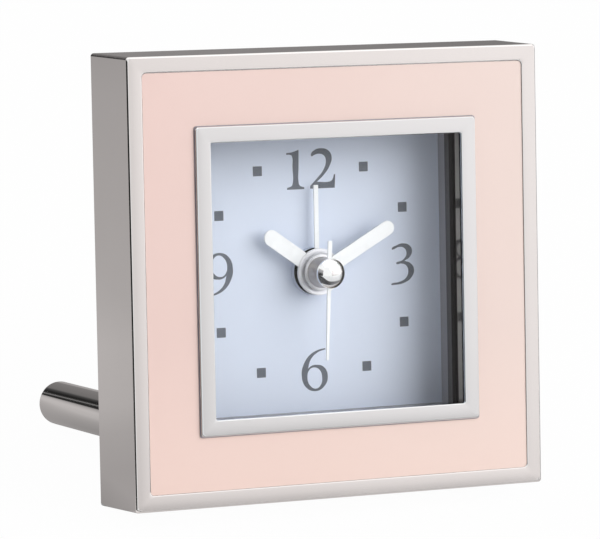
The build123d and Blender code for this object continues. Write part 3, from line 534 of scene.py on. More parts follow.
# Frame: drafted shell with a rim, the enamel's recess and a collar, and the bosses behind it
frameSize = {
    "backHalf": 42.945, "frontHalf": 42.5, "depth": 17.0, "corner": 0.6, "edge": 0.4, "rearEdge": 0.25,
    "rearShare": 0.3, "enamelHalf": 39.4, "enamelCorner": 0.8, "recess": 0.9, "fenceHalf": 29.25,
    "fenceTop": 16.9, "fenceCorner": 0.6, "opening": 28.2, "collarHalf": 29.7, "collarEnd": 2.8,
    "inside": 14.4, "hollowHalf": 40.545, "lipEdge": 0.3, "rimDrop": 0.022, "plate": 1.2,
    "bossSpread": 36.345, "bossRadius": 2.65, "bossBore": 1.3, "bossSink": 0.4, "legBoss": 5.2,
}


def buildFrame():
    s = frameSize
    draft = (s["backHalf"] - s["frontHalf"]) / s["depth"]
    rear, ease = s["rearEdge"], s["rearShare"] * s["rearEdge"]
    section = [(s["hollowHalf"], 0, 0), (s["backHalf"] - rear, s["corner"], 0),
               (s["backHalf"] - ease, s["corner"], ease), (s["backHalf"] - draft * rear, s["corner"], rear)]
    edge = s["depth"] - s["rimDrop"]
    for half, level in roundOver(s["frontHalf"], edge, s["edge"], "topOut"):
        section.append((half + draft * (s["depth"] - level), s["corner"], level))
    for half, level in crowned(s["frontHalf"] - s["edge"], s["enamelHalf"] + s["lipEdge"], s["depth"],
                               s["rimDrop"]):
        section.append((half, s["corner"], level))
    for half, level in roundOver(s["enamelHalf"], edge, s["lipEdge"], "inTop"):
        section.append((half, s["enamelCorner"] + half - s["enamelHalf"], level))
    recessFloor = s["depth"] - s["recess"]
    section += [(s["enamelHalf"], s["enamelCorner"], recessFloor),
                (s["fenceHalf"], s["fenceCorner"], recessFloor),
                (s["fenceHalf"], s["fenceCorner"], s["fenceTop"]), (s["opening"], 0, s["fenceTop"]),
                (s["opening"], 0, s["collarEnd"]), (s["collarHalf"], 0, s["collarEnd"]),
                (s["collarHalf"], 0, s["inside"]), (s["hollowHalf"] - draft * s["inside"], 0, s["inside"])]
    meshes = [squareRing("frameShell", section, steps=8)]
    tall = s["inside"] + s["bossSink"]
    for x, y in fourCorners:
        boss = tube("boss", s["bossBore"], s["bossRadius"], s["plate"], tall, steps=24)
        meshes.append(movedTo(boss, x * s["bossSpread"], y * s["bossSpread"]))
    legBoss = tube("legBoss", legSize["bore"], s["legBoss"], s["plate"], tall, steps=32)
    meshes.append(movedTo(legBoss, *legSize["spot"]))
    placed("frameShell", joinMeshes("frameShell", meshes), plating, "case", ["frame"],
           flatShare=100)


# Enamel band: poured level with a slight rise where it wets the metal
enamelSize = {
    "outer": 39.37, "inner": 29.28, "floor": 16.12, "top": 16.72, "rise": 0.05, "outerCorner": 0.77,
    "innerCorner": 0.63, "leastCorner": 0.3,
    "creep": [(0.05, 0.032), (0.12, 0.016), (0.24, 0.005), (0.45, 0.0)],
}


def buildEnamel():
    s = enamelSize
    brim = s["top"] + s["rise"]
    section = [(s["outer"], s["outerCorner"], s["floor"]), (s["outer"], s["outerCorner"], brim)]
    for inset, lift in s["creep"]:
        section.append((s["outer"] - inset, max(s["outerCorner"] - inset, s["leastCorner"]), s["top"] + lift))
    for inset, lift in reversed(s["creep"]):
        section.append((s["inner"] + inset, s["innerCorner"] + inset, s["top"] + lift))
    section += [(s["inner"], s["innerCorner"], brim), (s["inner"], s["innerCorner"], s["floor"])]
    placed("enamelBand", squareRing("enamelBand", section, steps=8), enamel, "case",
           ["enamel_panel"], flatShare=100)


# Bezel: crowned ring, lip over the lens and skirt down the opening
bezelSize = {
    "outer": 29.1, "window": 26.0, "front": 17.5, "seat": 16.9, "crown": 0.35, "innerCrown": 0.3,
    "drop": 0.022, "corner": 0.7, "crownCorner": 0.45, "windowCorner": 0.32, "lipBack": 16.4,
    "skirtInner": 27.6, "skirt": 28.1, "skirtEnd": 9.6, "skirtCorner": 0.2, "slopeTop": 14.3,
    "slopeFoot": 11.8, "slopeInner": 27.19,
    # rings this near the slope's ends keep it flat, so that it mirrors the dial's marks
    "near": 0.02,
}


def buildBezel():
    s = bezelSize
    edge, near = s["front"] - s["drop"], s["near"]
    section = [(s["outer"], s["corner"], s["seat"])]
    for half, level in roundOver(s["outer"], edge, s["crown"], "topOut"):
        section.append((half, s["corner"] + half - s["outer"], level))
    for half, level in crowned(s["outer"] - s["crown"], s["window"] + s["innerCrown"], s["front"], s["drop"]):
        section.append((half, s["crownCorner"], level))
    for half, level in roundOver(s["window"], edge, s["innerCrown"], "inTop"):
        section.append((half, s["windowCorner"] + half - s["window"], level))
    section.append((s["window"], s["windowCorner"], s["lipBack"]))
    slope = (s["skirtInner"] - s["slopeInner"]) / (s["slopeTop"] - s["slopeFoot"])
    skirt = [(s["skirtInner"], s["lipBack"]), (s["skirtInner"], s["slopeTop"]),
             (s["skirtInner"] - slope * near, s["slopeTop"] - near),
             (s["slopeInner"] + slope * near, s["slopeFoot"] + near), (s["slopeInner"], s["slopeFoot"]),
             (s["slopeInner"], s["skirtEnd"]), (s["skirt"], s["skirtEnd"]), (s["skirt"], s["seat"])]
    section += [(half, s["skirtCorner"], level) for half, level in skirt]
    placed("bezelRing", squareRing("bezelRing", section, steps=8), bezelPlating, "case",
           ["bezel"], flatShare=100)


# Bezel seam: painted shadow, a hairline grey ring that stands for the dark gap round the bezel
seamShadowSize = {"outer": 29.24, "inner": 29.11, "low": 16.903, "high": 16.93, "corner": 0.6}


def buildSeamShadow():
    s = seamShadowSize
    mesh = squareBand("bezelSeam", s, s["low"], s["high"], steps=4)
    placed("bezelSeam", mesh, seamShadowGrey, "case", flatShare=100)


# Leg: turned rod with an eased end
legSize = {"spot": (-34.0, -27.945), "radius": 4.3, "length": 44.0, "round": 0.4, "bore": 2.05,
           "boreDepth": 8.0, "topEase": [(0, -0.12), (-0.1, 0)]}


def buildLeg():
    s = legSize
    profile = [(0, -s["length"])]
    profile += arc(s["radius"] - s["round"], -s["length"] + s["round"], s["round"], 270, 360, steps=5)
    profile += offset(s["topEase"], s["radius"], 0)
    profile += [(s["bore"], 0), (s["bore"], -s["boreDepth"]), (0, -s["boreDepth"])]
    mesh = movedTo(turned("legRod", profile, steps=96), *s["spot"])
    placed("legRod", mesh, polish, "case", ["leg"])


# Tub wall: thin bands of painted light and shade, grey for the bright dial mirrored just above it, then dark
# grey, then black up to the bezel
wallBandSize = {
    "outer": 27.18, "inner": 27.06, "corner": 0.1,
    "bands": {"tubLiner": (4.74, 7.5), "dialGasket": (7.5, 9.45), "bezelGasket": (9.45, 11.7)},
}


def buildWallBands():
    s = wallBandSize
    for (name, (low, high)), finish in zip(s["bands"].items(), (wallLightGrey, wallShadeGrey, wallShadeBlack)):
        placed(name, squareBand(name, s, low, high, steps=3), finish, "case", flatShare=100)


buildFrame()
buildEnamel()
buildBezel()
buildSeamShadow()
buildLeg()
buildWallBands()
print("case built")

# Dial print, in millimetres: the numerals' outlines lie round each numeral's centre
dialPrint = {"face": 4.7, "thick": 0.025, "shift": -0.19, "curveSteps": 10, "merge": 1e-4, "markRadius": 22.3,
             "markSize": 1.87, "markSpot": (-0.13, 0.285)}

# smooth outlines: a third number marks a corner
numerals = {
    "1": [
        [(-4.8, 3.62, 1), (-3.6, 3.74), (-2.2, 4.17, 1), (-2.26, 1.0), (-2.3, -2.1), (-2.1, -2.68),
         (-1.15, -3.06, 1), (-1.15, -3.42, 1), (-4.75, -3.42, 1), (-4.75, -3.06, 1), (-3.75, -2.68),
         (-3.53, -2.1), (-3.53, 1.0), (-3.53, 2.7), (-3.74, 3.14), (-4.8, 3.32, 1)],
    ],
    "2": [
        [(0.36, 3.12), (0.95, 3.86), (2.55, 4.28), (4.15, 3.72), (4.74, 2.5), (4.3, 0.9), (3.0, -0.86),
         (1.55, -2.12, 1), (4.35, -2.14), (4.78, -1.86), (5.16, -0.82, 1), (5.42, -0.8, 1), (5.28, -3.42, 1),
         (0.1, -3.4, 1), (0.12, -2.86, 1), (1.55, -1.48), (2.95, 0.12), (3.5, 1.75), (3.2, 2.78),
         (2.05, 3.24), (0.95, 3.0), (0.5, 2.8)],
    ],
    "3": [
        [(-2.22, 3.46), (-1.2, 4.04), (0.2, 4.36), (1.6, 3.88), (2.12, 2.85), (1.55, 1.62), (0.42, 0.96, 1),
         (1.75, 0.42), (2.47, -0.72), (2.02, -2.2), (0.3, -3.32), (-2.3, -3.66, 1), (-2.46, -3.5),
         (-2.3, -3.32), (-0.75, -3.1), (0.8, -2.28), (1.24, -1.05), (0.8, 0.06), (-0.3, 0.46), (-1.16, 0.38),
         (-1.32, 0.6), (-1.1, 0.78), (-0.2, 1.0), (0.6, 1.6), (0.93, 2.5), (0.45, 3.44), (-0.7, 3.7),
         (-1.85, 3.28), (-2.16, 3.26)],
    ],
    "6": [
        [(2.42, 4.16, 1), (0.9, 3.9), (-0.95, 2.92), (-2.2, 1.2), (-2.64, -0.6), (-1.85, -3.1), (0.2, -4.04),
         (2.1, -3.2), (2.86, -1.35), (2.1, 0.5), (0.5, 1.03), (-0.6, 0.86), (-1.28, 0.36, 1), (-0.72, 2.05),
         (0.8, 3.42), (2.46, 3.9, 1)],
        [(-0.1, 0.56), (1.15, 0.02), (1.67, -1.5), (1.35, -2.92), (0.35, -3.56), (-0.85, -2.95),
         (-1.45, -1.3), (-1.0, 0.12)],
    ],
}
numeralSpots = {"twelve": ("12", (-0.2, 19.2), 0), "three": ("3", (19.2, 0), 0), "six": ("6", (0, -19.2), 0),
                "nine": ("6", (-19.2, 0.35), 180)}


def drawNumeral(name, outlines):
    curve = bpy.data.curves.new(name, "CURVE")
    curve.dimensions = "2D"
    curve.fill_mode = "BOTH"
    curve.extrude = dialPrint["thick"] / 2
    curve.resolution_u = dialPrint["curveSteps"]
    for outline in outlines:
        spline = curve.splines.new("BEZIER")
        spline.bezier_points.add(len(outline) - 1)
        spline.use_cyclic_u = True
        for point, (x, y, *corner) in zip(spline.bezier_points, outline):
            point.co = (x, y, 0)
            point.handle_left_type = point.handle_right_type = "VECTOR" if corner else "AUTO"
    thing = linkData(name, curve)
    mesh = evaluatedMesh(thing)
    dropObject(thing)
    return tidyMesh(mesh, dialPrint["merge"])


def buildNumerals():
    level = dialPrint["face"] + dialPrint["thick"] / 2
    for name, (glyphs, spot, turn) in numeralSpots.items():
        outlines = [outline for glyph in glyphs for outline in numerals[glyph]]
        mesh = turnedBy(drawNumeral(name, outlines), turn)
        movedTo(mesh, spot[0] + dialPrint["shift"], spot[1], level)
        placed("numeral_" + name, mesh, dialInk, "case")


# Trees for what repeats
def startShapes(name, inputs):
    return startTree(name, "GeometryNodeTree", {"Geometry": "Geometry", **inputs}, {"Geometry": "Geometry"})


def endShapes(tree, shapes, entry, finish, leave):
    # instances made real and given the finish that the named input brings
    real = addNode(tree, "GeometryNodeRealizeInstances")
    paint = addNode(tree, "GeometryNodeSetMaterial")
    wire(tree, (shapes, 0, real, 0), (real, 0, paint, "Geometry"), (entry, finish, paint, "Material"),
         (paint, 0, leave, 0))
    return tree


def applyTree(name, tree, mesh, values):
    # runs a node tree on a mesh and keeps the result as a plain mesh
    thing = linkData(name, mesh)
    step = thing.modifiers.new(name, "NODES")
    step.node_group = tree
    for item in tree.interface.items_tree:
        if item.in_out == "INPUT" and item.name in values:
            step[item.identifier] = values[item.name]
    bakeModifiers(thing)
    return takeMesh(thing)


def makeMarkerTree():
    # square marks on the hours that carry no numeral
    tree, entry, leave = startShapes("hourMarks", {
        "Radius": "Float", "Size": "Float", "Thickness": "Float", "Ink": "Material"})
    ring = addNode(tree, "GeometryNodeMeshCircle", {"Vertices": 12})
    index = addNode(tree, "GeometryNodeInputIndex")
    third = addNode(tree, "FunctionNodeIntegerMath", {1: 3}, operation="MODULO")
    rest = addNode(tree, "FunctionNodeCompare", data_type="INT", operation="NOT_EQUAL")
    keep = addNode(tree, "GeometryNodeSeparateGeometry", domain="POINT")
    size = addNode(tree, "ShaderNodeCombineXYZ")
    mark = addNode(tree, "GeometryNodeMeshCube")
    spread = addNode(tree, "GeometryNodeInstanceOnPoints")
    wire(tree,
         (entry, "Radius", ring, "Radius"), (index, 0, third, 0), (third, 0, rest, 2),
         (ring, "Mesh", keep, "Geometry"), (rest, 0, keep, "Selection"), (entry, "Size", size, "X"),
         (entry, "Size", size, "Y"), (entry, "Thickness", size, "Z"), (size, 0, mark, "Size"),
         (keep, "Selection", spread, "Points"), (mark, "Mesh", spread, "Instance"))
    return endShapes(tree, spread, entry, "Ink", leave)


def buildMarkers():
    s = dialPrint
    mesh = applyTree("hourMarks", makeMarkerTree(), meshFrom("hourMarks", [], []), {
        "Radius": s["markRadius"], "Size": s["markSize"], "Thickness": s["thick"], "Ink": dialInk})
    movedTo(mesh, *s["markSpot"], s["face"] + s["thick"] / 2)
    placed("hourMarks", mesh, dialInk, "case")


# Eyelet: the dial's pale turned-up edge round the foot of the module's nose
eyeletSize = {"inner": 4.51, "outer": 4.6, "rise": 1.15, "soft": 0.03}


def buildEyelet():
    s, foot = eyeletSize, dialPrint["face"]
    mesh = tube("dialEyelet", s["inner"], s["outer"], foot, foot + s["rise"], steps=96, soft=s["soft"])
    placed("dialEyelet", mesh, dialPaint, "case")


buildNumerals()
buildMarkers()
buildEyelet()
print("dial printed")

# Hands, drawn pointing up and turned to the time shown
handSize = {
    "sheet": 0.3, "soft": 0.05,
    "alarm": {"level": 6.449, "length": 16.6, "width": 0.93, "hub": 3.5, "root": 0.4, "bore": 2.6,
              "angle": 0},
    "hour": {"level": 7.215, "length": 13.5, "width": 3.1, "hub": 4.5, "root": 0.8, "bore": 1.8,
             "angle": 305.25, "rise": 0.2, "foot": 0.06, "lip": 0.1,
             "dish": [(-0.75, 0), (-0.85, -0.07), (-0.95, -0.14)]},
    "minute": {"level": 8.404, "length": 17.5, "width": 2.8, "hub": 3.45, "root": 0.6, "bore": 1.1,
               "angle": 61, "foot": 0.05, "lip": 0.08},
    "second": {"level": 12.0, "length": 16.6, "width": 0.85, "tip": 0.5, "tail": 6.2, "hub": 1.5, "bore": 0.5,
               "angle": 182.5},
}


def roundEnded(s, steps=14):
    # bar from inside the hub to a round end
    r, start = s["width"] / 2, s["hub"] - s["root"]
    return [(-r, start), (r, start), *arc(0, s["length"] - r, r, 0, 180, steps)]


def handTop(s):
    return s["level"] + handSize["sheet"]


def handBar(name, outline, s):
    return turnedBy(softSlab(name, outline, s["level"], handTop(s), handSize["soft"]), s["angle"])


def buildHands():
    s = handSize["alarm"]
    r, root, end = s["width"] / 2, s["hub"] - s["root"], s["length"]
    bar = handBar("alarmBar", [(-r, root), (r, root), (r, end), (-r, end)], s)
    hub = tube("alarmHub", s["bore"], s["hub"], s["level"], handTop(s), steps=64, soft=handSize["soft"])
    mesh = joinMeshes("alarmHand", [bar, hub])
    placed("alarmHand", mesh, handLacquer, "alarm", ["alarm_hand"])

    s = handSize["hour"]
    placed("hourHand", handBar("hourBar", roundEnded(s), s), handLacquer, "hour", ["hour_hand"])
    low, rim, foot, lip = s["level"], handTop(s) + s["rise"], s["foot"], s["lip"]
    profile = [(s["bore"], low), (s["hub"] - foot, low), (s["hub"], low + foot), (s["hub"], rim - lip),
               (s["hub"] - lip, rim), *offset(s["dish"], s["hub"], rim), (s["bore"], rim + s["dish"][-1][1])]
    placed("hourHub", turned("hourHub", profile, steps=96), hubSilver, "hour")

    s = handSize["minute"]
    placed("minuteHand", handBar("minuteBar", roundEnded(s), s), handLacquer, "minute",
           ["minute_hand"])
    hub = tube("minuteHub", s["bore"], s["hub"], s["level"], handTop(s), steps=96, soft=s["lip"],
               foot=s["foot"])
    placed("minuteHub", hub, hubSilver, "minute")

    s = handSize["second"]
    r, tip, tail, end = s["width"] / 2, s["tip"] / 2, -s["tail"], s["length"]
    bar = handBar("secondBar", [(-r, tail), (r, tail), (r, 0), (tip, end), (-tip, end), (-r, 0)], s)
    placed("secondHand", bar, handLacquer, "second", ["second_hand"])
    hub = tube("secondHub", s["bore"], s["hub"], s["level"], handTop(s), steps=48)
    placed("secondHub", hub, satin, "second")


# Sleeve between the minute and second hands, and the dome cap
stackSize = {
    "sleeveBottom": 8.704, "sleeveTop": 11.7, "sleeveRadius": 3.0, "sleeveTopRadius": 2.3, "sleeveBore": 1.1,
    "sleeveFoot": [(0, 0), (0, 0.18), (-0.1, 0.3)], "sleeveEnd": [(0.1, -0.12), (0, 0)],
    "capBottom": 12.3, "capRadius": 2.8, "capBase": 0.8, "capDome": 1.1, "capBore": 0.5, "capSeat": 12.7,
    "capEase": 0.12, "domeSteps": 14,
}


def buildStack():
    s = stackSize
    sleeve = [(s["sleeveBore"], s["sleeveBottom"]),
              *offset(s["sleeveFoot"], s["sleeveRadius"], s["sleeveBottom"]),
              *offset(s["sleeveEnd"], s["sleeveTopRadius"], s["sleeveTop"]),
              (s["sleeveBore"], s["sleeveTop"])]
    placed("minuteSleeve", turned("minuteSleeve", sleeve, steps=96), sleeveGrey, "minute",
           ["minute_sleeve"])
    bottom, ease = s["capBottom"], s["capEase"]
    top = bottom + s["capBase"] + s["capDome"]
    ball = (s["capRadius"] ** 2 + s["capDome"] ** 2) / (2 * s["capDome"])
    sweep = math.degrees(math.acos(s["capRadius"] / ball))
    cap = [(0, s["capSeat"]), (s["capBore"], s["capSeat"]), (s["capBore"], bottom),
           (s["capRadius"] - ease, bottom), (s["capRadius"], bottom + ease)]
    cap += arc(0, top - ball, ball, sweep, 90, s["domeSteps"])[:-1] + [(0, top)]
    placed("handCap", turned("handCap", cap, steps=96), domeChrome, "second", ["hand_cap"])


buildHands()
buildStack()
print("hands built")

# Screws: pan heads with a cross recess, one set for the back plate and one for the module
screwSize = {
    "plateScrews": {"seat": 0.0, "head": 2.2, "rise": 1.3, "shank": 1.25, "length": 8.0, "seed": 4,
                    "spots": [(x * frameSize["bossSpread"], y * frameSize["bossSpread"])
                              for x, y in fourCorners],
                    "stands": "back_plate_screws"},
    "moduleScrews": {"seat": -13.9, "head": 1.7, "rise": 1.0, "shank": 0.9, "length": 12.0, "seed": 9,
                     "spots": [(-23.6, 23.6), (23.6, 23.6), (-23.6, -9.0), (23.6, -9.0)],
                     "stands": "module_screws"},
}
screwShape = {
    "flat": 0.45, "rim": 0.3, "crownSteps": 8, "edge": [(0, -0.08), (-0.06, 0)],
    "threadStart": 1.0, "pitch": 0.55, "plainTurns": 2,
    "thread": [(-0.18, 0), (0, 0.2), (0, 0.3), (-0.18, 0.5)], "tipShare": 0.35, "tipRise": 0.05,
    "recessTop": (0.66, 0.19), "recessFoot": (0.24, 0.1), "recessOver": 0.1, "recessEnd": 0.1, "spin": 3.1,
}


def crossOutline(arm, web):
    return [(web, web), (arm, web), (arm, -web), (web, -web), (web, -arm), (-web, -arm), (-web, -web),
            (-arm, -web), (-arm, web), (-web, web), (-web, arm), (web, arm)]


def drawScrew(s):
    t = screwShape
    head, rise, shank, length = s["head"], s["rise"], s["shank"], s["length"]
    profile = [(0, -rise)]
    for k in range(1, t["crownSteps"] + 1):
        out, up = onCircle(1, 90 - 90 * k / t["crownSteps"])
        profile.append((head * (t["flat"] + (1 - t["flat"]) * out), -rise * (t["rim"] + (1 - t["rim"]) * up)))
    profile += offset(t["edge"], head, 0) + [(shank, 0)]
    for k in range(int(length / t["pitch"]) - t["plainTurns"]):
        profile += offset(t["thread"], shank, t["threadStart"] + k * t["pitch"])
    profile += [(shank * t["tipShare"], length - t["tipRise"]), (0, length)]
    mouth, foot = (crossOutline(arm * head, web * head) for arm, web in (t["recessTop"], t["recessFoot"]))
    points = [(x, y, -rise - t["recessOver"]) for x, y in mouth]
    points += [(x, y, t["recessEnd"] * rise) for x, y in foot]
    count = len(mouth)
    faces = [tuple(range(count)), tuple(reversed(range(count, 2 * count)))]
    faces += [(k, k + count, (k + 1) % count + count, (k + 1) % count) for k in range(count)]
    return carved(turned("screw", profile, steps=32), meshFrom("recess", points, faces))


def makeScrewTree():
    # a screw on each point, its recess turned by chance
    tree, entry, leave = startShapes("screwSet", {"Screw": "Object", "Seed": "Int", "Steel": "Material"})
    source = addNode(tree, "GeometryNodeObjectInfo")
    chance = addNode(tree, "FunctionNodeRandomValue", {0: (0, 0, 0), 1: (0, 0, screwShape["spin"])},
                     data_type="FLOAT_VECTOR")
    spread = addNode(tree, "GeometryNodeInstanceOnPoints")
    wire(tree, (entry, "Screw", source, "Object"), (entry, "Seed", chance, "Seed"),
         (entry, "Geometry", spread, "Points"), (source, "Geometry", spread, "Instance"),
         (chance, 0, spread, "Rotation"))
    return endShapes(tree, spread, entry, "Steel", leave)


def buildScrews():
    tree = makeScrewTree()
    for name, s in screwSize.items():
        one = linkData("oneScrew", drawScrew(s))
        points = meshFrom(name, [(x, y, s["seat"]) for x, y in s["spots"]], [])
        mesh = applyTree(name, tree, points, {"Screw": one, "Seed": s["seed"], "Steel": screwSteel})
        dropObject(one)
        placed(name, mesh, screwSteel, "case", [s["stands"]], sharpAngle=30, flatShare=100)


# Knobs: ribbed finger knobs with a dished end and a pointer
knobSize = {
    "back": -18.4, "front": -14.4, "radius": 4.16, "bore": 0.65, "boreEnd": -17.2, "dish": 0.35,
    "dishRadius": 2.7, "end": [(2.95, 0.1), (3.1, 0), (3.62, 0), (3.8, 0.05), (4.14, 0.42), (4.16, 0.5)],
    "frontEase": 0.15, "ribs": 20, "ribRing": 4.17, "rib": 0.33, "ribShort": 0.75, "ribShift": 0.15,
    "pointer": {"tail": -1.9, "neck": 0.5, "tip": 2.0, "shaft": 0.3, "wing": 0.85},
    "pointerRise": 0.2, "pointerSink": 0.1, "pointerSoft": 0.06,
    "knobs": {"timeKnob": ((7.0906, -1.2503), "time_setter", "time_knob"),
              "alarmKnob": ((-4.3018, -6.1436), "alarm_setter", "alarm_knob")},
}


def makeKnobTree():
    # ribs round a turned knob
    tree, entry, leave = startShapes("ribbedKnob", {
        "Ribs": "Int", "Ring": "Float", "Rib Radius": "Float", "Rib Length": "Float", "Middle": "Vector",
        "Plastic": "Material"})
    ring = addNode(tree, "GeometryNodeMeshCircle")
    rib = addNode(tree, "GeometryNodeMeshCylinder", {"Vertices": 12})
    lift = addNode(tree, "GeometryNodeTransform")
    spread = addNode(tree, "GeometryNodeInstanceOnPoints")
    both = addNode(tree, "GeometryNodeJoinGeometry")
    wire(tree,
         (entry, "Ribs", ring, "Vertices"), (entry, "Ring", ring, "Radius"),
         (entry, "Rib Radius", rib, "Radius"), (entry, "Rib Length", rib, "Depth"),
         (rib, "Mesh", lift, "Geometry"), (entry, "Middle", lift, "Translation"),
         (ring, "Mesh", spread, "Points"), (lift, 0, spread, "Instance"), (entry, "Geometry", both, 0),
         (spread, 0, both, 0))
    return endShapes(tree, both, entry, "Plastic", leave)


def buildKnobs():
    s = knobSize
    tree = makeKnobTree()
    back, front, radius = s["back"], s["front"], s["radius"]
    low = back + s["dish"]
    profile = [(0, low), (s["dishRadius"], low), *offset(s["end"], 0, back), (radius, front - s["frontEase"]),
               (radius - s["frontEase"], front), (s["bore"], front), (s["bore"], s["boreEnd"]),
               (0, s["boreEnd"])]
    for name, (spot, body, node) in s["knobs"].items():
        mesh = applyTree(name, tree, turned(name, profile, steps=80), {
            "Ribs": s["ribs"], "Ring": s["ribRing"], "Rib Radius": s["rib"],
            "Rib Length": front - back - s["ribShort"], "Middle": (0, 0, (front + back) / 2 + s["ribShift"]),
            "Plastic": blackGrain})
        placed(name, movedTo(mesh, *spot), blackGrain, body, [node])
        pointer = softSlab(name + "Pointer", arrowOutline(**s["pointer"]), low - s["pointerRise"],
                           low + s["pointerSink"], s["pointerSoft"], segments=2)
        placed(name + "Pointer", movedTo(pointer, *spot), signInk, body)


# Alarm switch: thumb piece with grip ribs, on a neck through the slot
switchSize = {
    "spot": (12.0, 19.6), "thumb": (4.6, 4.6), "foot": -14.0, "top": -15.8, "thumbSoft": 0.25,
    "neck": (4.0, 2.4), "flange": (6.8, 5.2), "flangeLow": -12.3, "flangeHigh": -11.4, "flangeSoft": 0.1,
    "ribs": 3, "pitch": 1.45, "ribWidth": 0.5, "ribShort": 0.7, "ribRise": 0.4, "ribSink": 0.15,
    "ribSoft": 0.12,
}


def makeRibTree():
    # a row of grip ribs on a base
    tree, entry, leave = startShapes("gripRibs", {
        "Ribs": "Int", "Start": "Vector", "Step": "Vector", "Rib": "Object", "Plastic": "Material"})
    row = addNode(tree, "GeometryNodeMeshLine")
    source = addNode(tree, "GeometryNodeObjectInfo")
    spread = addNode(tree, "GeometryNodeInstanceOnPoints")
    both = addNode(tree, "GeometryNodeJoinGeometry")
    wire(tree,
         (entry, "Ribs", row, "Count"), (entry, "Start", row, "Start Location"),
         (entry, "Step", row, "Offset"), (entry, "Rib", source, "Object"), (row, "Mesh", spread, "Points"),
         (source, "Geometry", spread, "Instance"), (entry, "Geometry", both, 0), (spread, 0, both, 0))
    return endShapes(tree, both, entry, "Plastic", leave)


def buildSwitch():
    s = switchSize
    thumb = softSlab("thumb", rectangle(*s["thumb"]), s["top"], s["foot"], s["thumbSoft"], segments=4)
    neck = slab("neck", rectangle(*s["neck"]), s["foot"], s["flangeLow"])
    flange = softSlab("flange", rectangle(*s["flange"]), s["flangeLow"], s["flangeHigh"], s["flangeSoft"],
                      segments=2)
    ribOutline = rectangle(s["ribWidth"], s["thumb"][1] - s["ribShort"])
    rib = linkData("rib", softSlab("rib", ribOutline, -s["ribRise"], s["ribSink"], s["ribSoft"]))
    mesh = applyTree("alarmSwitch", makeRibTree(), joinMeshes("alarmSwitch", [thumb, neck, flange]), {
        "Ribs": s["ribs"], "Start": (-s["pitch"], 0, s["top"]), "Step": (s["pitch"], 0, 0), "Rib": rib,
        "Plastic": blackGrain})
    dropObject(rib)
    placed("alarmSwitch", movedTo(mesh, *s["spot"]), blackGrain, "switch", ["alarm_switch"],
           flatShare=100)


# Cell: steel can with a plain jacket
cellSize = {
    "left": -25.15, "length": 49.0, "radius": 7.1, "nub": 2.6, "nubLength": 1.3, "y": -18.6, "level": -5.0,
    "foot": [(-1.4, 0), (-1.2, 0.15), (-0.75, 0.15), (-0.3, 0.1), (-0.12, 0.3)],
    "shoulder": [(-0.12, -0.3), (-0.4, -0.05), (-1.0, 0), (-1.3, -0.35)],
    "nubFoot": [(0.25, -0.35), (0, -0.1)], "nubEnd": [(0, -0.3), (-0.25, 0)],
    "wrap": [(-0.1, 0.35), (-0.02, 0.35), (0, 0.5)],
    "band": [(-0.05, -9.0), (0.01, -9.0), (0.01, -5.5), (-0.05, -5.5)],
}


def buildCell():
    s = cellSize
    r, end, top = s["radius"], s["length"], s["length"] + s["nubLength"]
    can = [(0, 0), *offset(s["foot"], r, 0), *offset(s["shoulder"], r, end),
           *offset(s["nubFoot"], s["nub"], end), *offset(s["nubEnd"], s["nub"], top), (0, top)]
    jacket = offset(s["wrap"], r, 0) + [(r + dx, end - dz) for dx, dz in reversed(s["wrap"])]
    lay = Matrix.Translation((s["left"], s["y"], s["level"])) @ Matrix.Rotation(math.radians(90), 4, "Y")
    for name, profile, finish, slotName, stands in (
        ("cellCan", can, screwSteel, "screw_steel", ["battery"]),
        ("cellJacket", jacket, jacketFinish, "cell_jacket", []),
        ("cellBand", offset(s["band"], r, end), signInk, "cell_jacket", []),
    ):
        mesh = turned(name, profile, steps=72)
        mesh.transform(lay)
        placed(name, mesh, finish, "case", stands)


# Signs on the rear: turning arrows round the knobs, on and off marks by the switch, and the door's arrow
signSize = {
    "face": -13.9, "thick": 0.04, "sink": 0.01, "arcRadius": 5.9, "arcWidth": 0.42, "arcStart": 65,
    "arcEnd": 150, "arcSteps": 20, "headLength": 1.5, "headWidth": 1.6,
    "turns": {"timeKnob": 0, "alarmKnob": -60}, "dot": 0.75, "ring": (0.5, 0.8), "onSpot": (6.6, 3.9),
    "offSpot": (-1.2, 3.9), "doorSpot": (8.5, -18.6),
    "doorArrow": {"tail": -2.6, "neck": 0.6, "tip": 2.6, "shaft": 0.45, "wing": 1.3},
}


def arcArrow(s):
    r, start, end, steps = s["arcRadius"], s["arcStart"], s["arcEnd"], s["arcSteps"]
    half, head = s["arcWidth"] / 2, s["headWidth"] / 2
    tip = end + math.degrees(s["headLength"] / r)
    outline = arc(0, 0, r + half, start, end, steps)
    outline += [onCircle(r + head, end), onCircle(r, tip), onCircle(r - head, end)]
    return outline + arc(0, 0, r - half, end, start, steps)


def buildSigns():
    s = signSize
    low, high = s["face"] - s["thick"], s["face"] + s["sink"]
    signs = []
    for name, knob in knobSize["knobs"].items():
        mesh = turnedBy(slab(name + "Arrow", arcArrow(s), low, high), s["turns"][name])
        signs.append((name + "Arrow", mesh, knob[0], "case"))
    x, y = switchSize["spot"]
    (onX, onY), (offX, offY) = s["onSpot"], s["offSpot"]
    signs.append(("onMark", tube("onMark", 0, s["dot"], low, high, steps=32), (x + onX, y + onY), "case"))
    signs.append(("offMark", tube("offMark", *s["ring"], low, high, steps=32), (x + offX, y + offY), "case"))
    doorArrow = turnedBy(slab("doorArrow", arrowOutline(**s["doorArrow"]), low, high), 90)
    signs.append(("doorArrow", doorArrow, s["doorSpot"], "door"))
    for name, mesh, spot, body in signs:
        placed(name, movedTo(mesh, *spot), signInk, body)


buildScrews()
buildKnobs()
buildSwitch()
buildCell()
buildSigns()
print("rear built")

